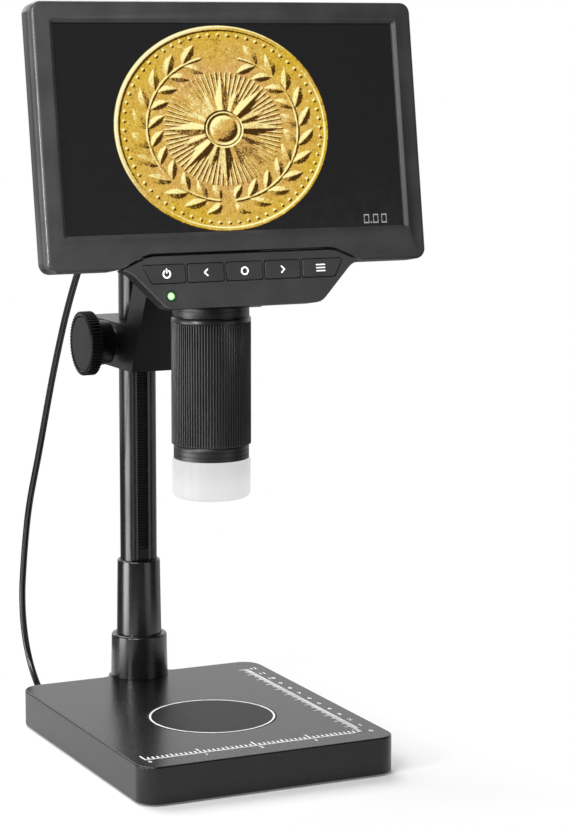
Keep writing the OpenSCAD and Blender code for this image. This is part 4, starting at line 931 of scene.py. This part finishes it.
def coin_height(a, b):
    """Height of the relief at a, b, in the coin's radii from its middle."""
    radius = (a * a + b * b).maths("SQRT")
    turn = a.maths("ARCTAN2", b * -1.0) / (2 * math.pi)
    rim = radius.ramp(0.945, 0.962) * radius.fade(0.984, 1.0) * 0.8

    def cell(count, shift=0.0):
        """Place across one of count sectors, from -0.5 to 0.5."""
        return (turn * count + (shift + 0.5)).fract() - 0.5

    # Small beads close to the rim
    bead_x, bead_y = cell(BEADS) * (2 * math.pi * BEAD_ROW / BEADS), radius - BEAD_ROW
    beads = (0.024 - abs(bead_x) - abs(bead_y)).most(0.0) * 34.0
    # Two sprays of leaves that meet at the bottom
    leaf_x = ((abs(turn) * LEAVES).fract() - 0.5) * (2 * math.pi * WREATH / LEAVES)
    leaf_y = abs(radius - WREATH) - 0.074
    lean_x = leaf_x * 0.76 + leaf_y * 0.65
    lean_y = leaf_y * 0.76 - leaf_x * 0.65
    leaf = ((1 - lean_x * lean_x / 0.0120) * 0.046 - abs(lean_y)).most(0.0) * 30.0
    spray = abs(turn).ramp(0.012, 0.02) * abs(turn).fade(0.455, 0.465)
    stem = (1 - abs(radius - WREATH) / 0.016).most(0.0) * 0.7
    wreath = leaf.most(stem) * spray

    def star(points, tip, shift, lift):
        fold = abs(cell(points, shift)) * (2 * math.pi / points)
        half = math.pi / points
        dx, dy = STAR * math.cos(half) - tip, STAR * math.sin(half)
        long = math.hypot(dx, dy)
        x, y = radius * fold.maths("COSINE"), radius * fold.maths("SINE")
        return (((tip - x) * dy + y * dx) / long * lift).most(0.0)

    stars = star(8, 0.55, 0.0, 34.0).most(star(8, 0.42, 0.5, 26.0))
    ring = (1 - abs(radius - 0.155) / 0.02).most(0.0) * 0.9
    boss = (1 - radius * radius / 0.0150).most(0.0).maths("SQRT") * 2.6 + ring
    middle = radius.ramp(0.170, 0.180)
    # Fine rays between the star and the leaves
    ray = (1 - abs(cell(RAYS)) * 4.4).most(0.0) * radius.ramp(0.20, 0.24) * radius.fade(0.53, 0.57) * 0.5
    return rim + beads + wreath + ray.most(stars) * middle + boss


print("relief of", BEADS, "beads,", LEAVES, "leaf pairs,", RAYS, "rays and a star of 16 points")


# %% The picture on the screen
COIN_MIDDLE, COIN_RADII = (-4.3, -0.5), (49.0, 43.0)
HALF_SCREEN = (77.0, 42.9)
picture = Finish("screen_picture", (0.004, 0.004, 0.005), 0.12, Emission_Strength=1.0,
                 Specular_IOR_Level=0.35)
place = picture.place
across, y, z = (part * 1000.0 for part in place.parts())
up = (y - SCREEN_MIDDLE[1]) * math.sin(TILT) + (z - SCREEN_MIDDLE[2]) * math.cos(TILT)
a, b = (across - COIN_MIDDLE[0]) / COIN_RADII[0], (up - COIN_MIDDLE[1]) / COIN_RADII[1]
worn, grain = place.noise(420, 4) - 0.5, place.noise(1500, 2) - 0.5
step = 0.010  # between the two places whose heights are compared
relief = coin_height(a, b) - coin_height(a - step, b + step) + worn * 0.5 + grain * 0.8
radius = (a * a + b * b).maths("SQRT")
tone = place.noise(55, 3).ramp(0.35, 0.65) * 0.35 + radius.ramp(0.45, 0.97) * 0.65
field = tone.mix((0.68, 0.40, 0.12), (0.68, 0.43, 0.025))
dark = (relief * -1.0).ramp(0.0, 0.36).mix(field, (0.060, 0.025, 0.0))
gold = relief.ramp(0.02, 0.40).mix(dark, (1.0, 0.94, 0.44))
shine = (b * 0.5 - a * 0.86).ramp(0.25, 0.85) * radius.ramp(0.958, 0.968) * radius.fade(0.985, 0.996)
gold = (shine * 0.85).mix(gold, (1.0, 0.97, 0.62))
# A small weight readout of three plain noughts, as seven-segment figures
figures = abs(across - 62.1).most(abs(up + 41.6)).fade(0.28, 0.36)
for middle in (59.9, 64.3, 68.3):
    box_x, box_y = abs(across - middle) / 1.25, abs(up + 40.0) / 1.95
    outer = box_x.most(box_y)
    figures = figures.most(outer.ramp(0.70, 0.76) * outer.fade(0.96, 1.0) * box_y.ramp(0.05, 0.09))
back = across.ramp(-80.0, 80.0).mix((0.013, 0.013, 0.013), (0.012, 0.012, 0.012))
shown = figures.mix(radius.fade(0.992, 1.0).mix(back, gold), (0.42, 0.42, 0.42))
outside = [abs(part).ramp(half, half + 0.15) for part, half in zip((across, up), HALF_SCREEN)]
picture["Emission Color"] = outside[0].most(outside[1]).mix(shown, (0.004, 0.004, 0.004))
picture["Roughness"] = place.noise(300, 2).ramp(0.3, 0.7, 0.10, 0.16)
for held in nodes["screen_window"].material_slots:
    held.material = picture.material
print("picture nodes:", len(picture.tree.nodes))

# %% [markdown]
# The display stands just above the panel, with a dark seam between them. A dark rubber strip on the panel's
# top edge fills the seam and stands in for its shade, as painted shade. The strip is one bar, drawn along the
# screen's width.

# %% Dark strip in the seam, as painted shade
SEAM_PAINTED_SHADE_STRIP = [(-1.6, -0.5), (1.6, -0.5), (1.6, 0.35), (1.4, 0.5), (-1.4, 0.5), (-1.6, 0.35)]
painted_shade_strip_place = SCREEN_PLACE @ at(-46, -52.3, -5.2, (90, "Y"))
add_piece("seam_seal", moved(bar(SEAM_PAINTED_SHADE_STRIP, 92), painted_shade_strip_place), rubber_finish, "carriage", smooth=30)

# %% [markdown]
# The status lamp is a light guide in a dark green turned ring, which lies in the panel's face.

# %% Ring round the status lamp
ring_finish = moulded("dark_green_ring", (0.01, 0.035, 0.012), 0.4)
lamp_ring = turned([(1.62, -0.05), (2.5, -0.05), (2.4, 0.10), (1.75, 0.08)], 48,
                   SCREEN_PLACE @ at(*STATUS_LAMP))
add_piece("status_ring", lamp_ring, ring_finish, "carriage", smooth=50)

# %% [markdown]
# The floor is plain and pale and keeps the object's shadow. Away from the base it turns to plain white for
# the camera, by Light Path, so the background is white and no extra light falls on the object. The backdrop
# is white behind the object and dark in front of it, as in a studio, so black plastic has something bright
# and something dark to reflect. An image of a sky could light it too, but then the reflections would belong
# to that sky.

# %% Floor and backdrop
def ray(tree, kind):
    """1 for the rays of one kind, such as Camera."""
    return Wire(tree, tree.nodes.new("ShaderNodeLightPath").outputs["Is " + kind + " Ray"])


floor_finish = Finish("pale_floor", (0.86, 0.86, 0.86), 0.7)
floor_finish["Base Color"] = floor_finish.place.noise(8, 2).ramp(0.2, 0.8).mix((0.85, 0.85, 0.85),
                                                                              (0.88, 0.88, 0.88))
x, y, _ = floor_finish.place.parts()
# How far a place lies outside the base, which is taken a little to the left and the front for its shadow
away = (abs(x + 0.012) - 0.059).most(abs(y + 0.007) - 0.074).ramp(0.0, 0.075, 0.12, 1.0)
white = away.node("Emission", {"Color": (1, 1, 1)})
shown = away.node("MixShader", {0: away * ray(floor_finish.tree, "Camera"), 2: white,
                                1: Wire(floor_finish.tree, floor_finish.principled.outputs[0])})
plug(floor_finish.tree, shown, floor_finish.tree.nodes["Material Output"].inputs["Surface"])

FLOOR_R = 0.20
work = bmesh.new()
bmesh.ops.create_circle(work, cap_ends=True, segments=96, radius=FLOOR_R)
floor = placed("pale_floor", as_mesh(work, "pale_floor", outwards=False))
floor.data.materials.append(floor_finish.material)

world = bpy.data.worlds.new("studio")
bpy.context.scene.world = world
world.use_nodes = True
sky = world.node_tree
background = sky.nodes["Background"]
background.inputs["Color"].default_value = (1, 1, 1, 1)
direction = Wire(sky, sky.nodes.new("ShaderNodeTexCoord").outputs["Generated"])
behind, height = (direction.node("VectorMath", {0: direction, 1: way}, out=1, operation="DOT_PRODUCT")
                  for way in ((0.43, 0.9, 0.06), (0, 0, 1)))
behind = behind.ramp(0.45, 1.0, 0.05, 1.0) * height.ramp(-0.15, 0.0, 0.35, 1.0)
mirrored = ray(sky, "Glossy").most(ray(sky, "Transmission"))
plug(sky, ray(sky, "Camera").most(mirrored * behind).most(0.06), background.inputs["Strength"])
print("floor radius", FLOOR_R, "m, backdrop set")

# %% Lights
LIGHTS = [  # name, place, aim, size, power
    ("overhead", (-0.1, 0.75, 1.25), (0, 0, 0.05), (1.2, 0.9), 21),
    ("left_key", (-0.99, 0.14, -0.08), (0, 0, -0.08), (0.56, 0.54), 8.2),
    ("front_left", (-0.36, -0.37, 0.50), (0, 0, 0.26), (0.26, 0.26), 2.8),
    ("front_right", (0.54, -1.01, 0.08), (0, 0, 0.12), (0.6, 0.7), 1.5),
    ("side_card", (-0.134, 0.29, 0.150), (-0.0145, 0.02, 0.190), (0.18, 0.12), 0.036),
    ("edge_strip", (-0.25, 1.45, 0.56), (0, 0, 0.02), (0.9, 0.10), 1.2),
    ("front_card", (-0.62, -0.27, 0.31), (-0.086, -0.04, 0.275), (0.11, 0.17), 2.6),
    ("right_fill", (1.0, 0.25, 0.20), (0, 0, 0.15), (0.8, 0.8), 1.2)]
for name, place, aim, size, power in LIGHTS:
    data = bpy.data.lights.new(name, "AREA")
    data.shape, data.energy = "RECTANGLE", power
    data.size, data.size_y = size
    lamp = placed(name, data)
    lamp.location = place
    lamp.rotation_euler = (Vector(aim) - Vector(place)).to_track_quat("-Z", "Y").to_euler()
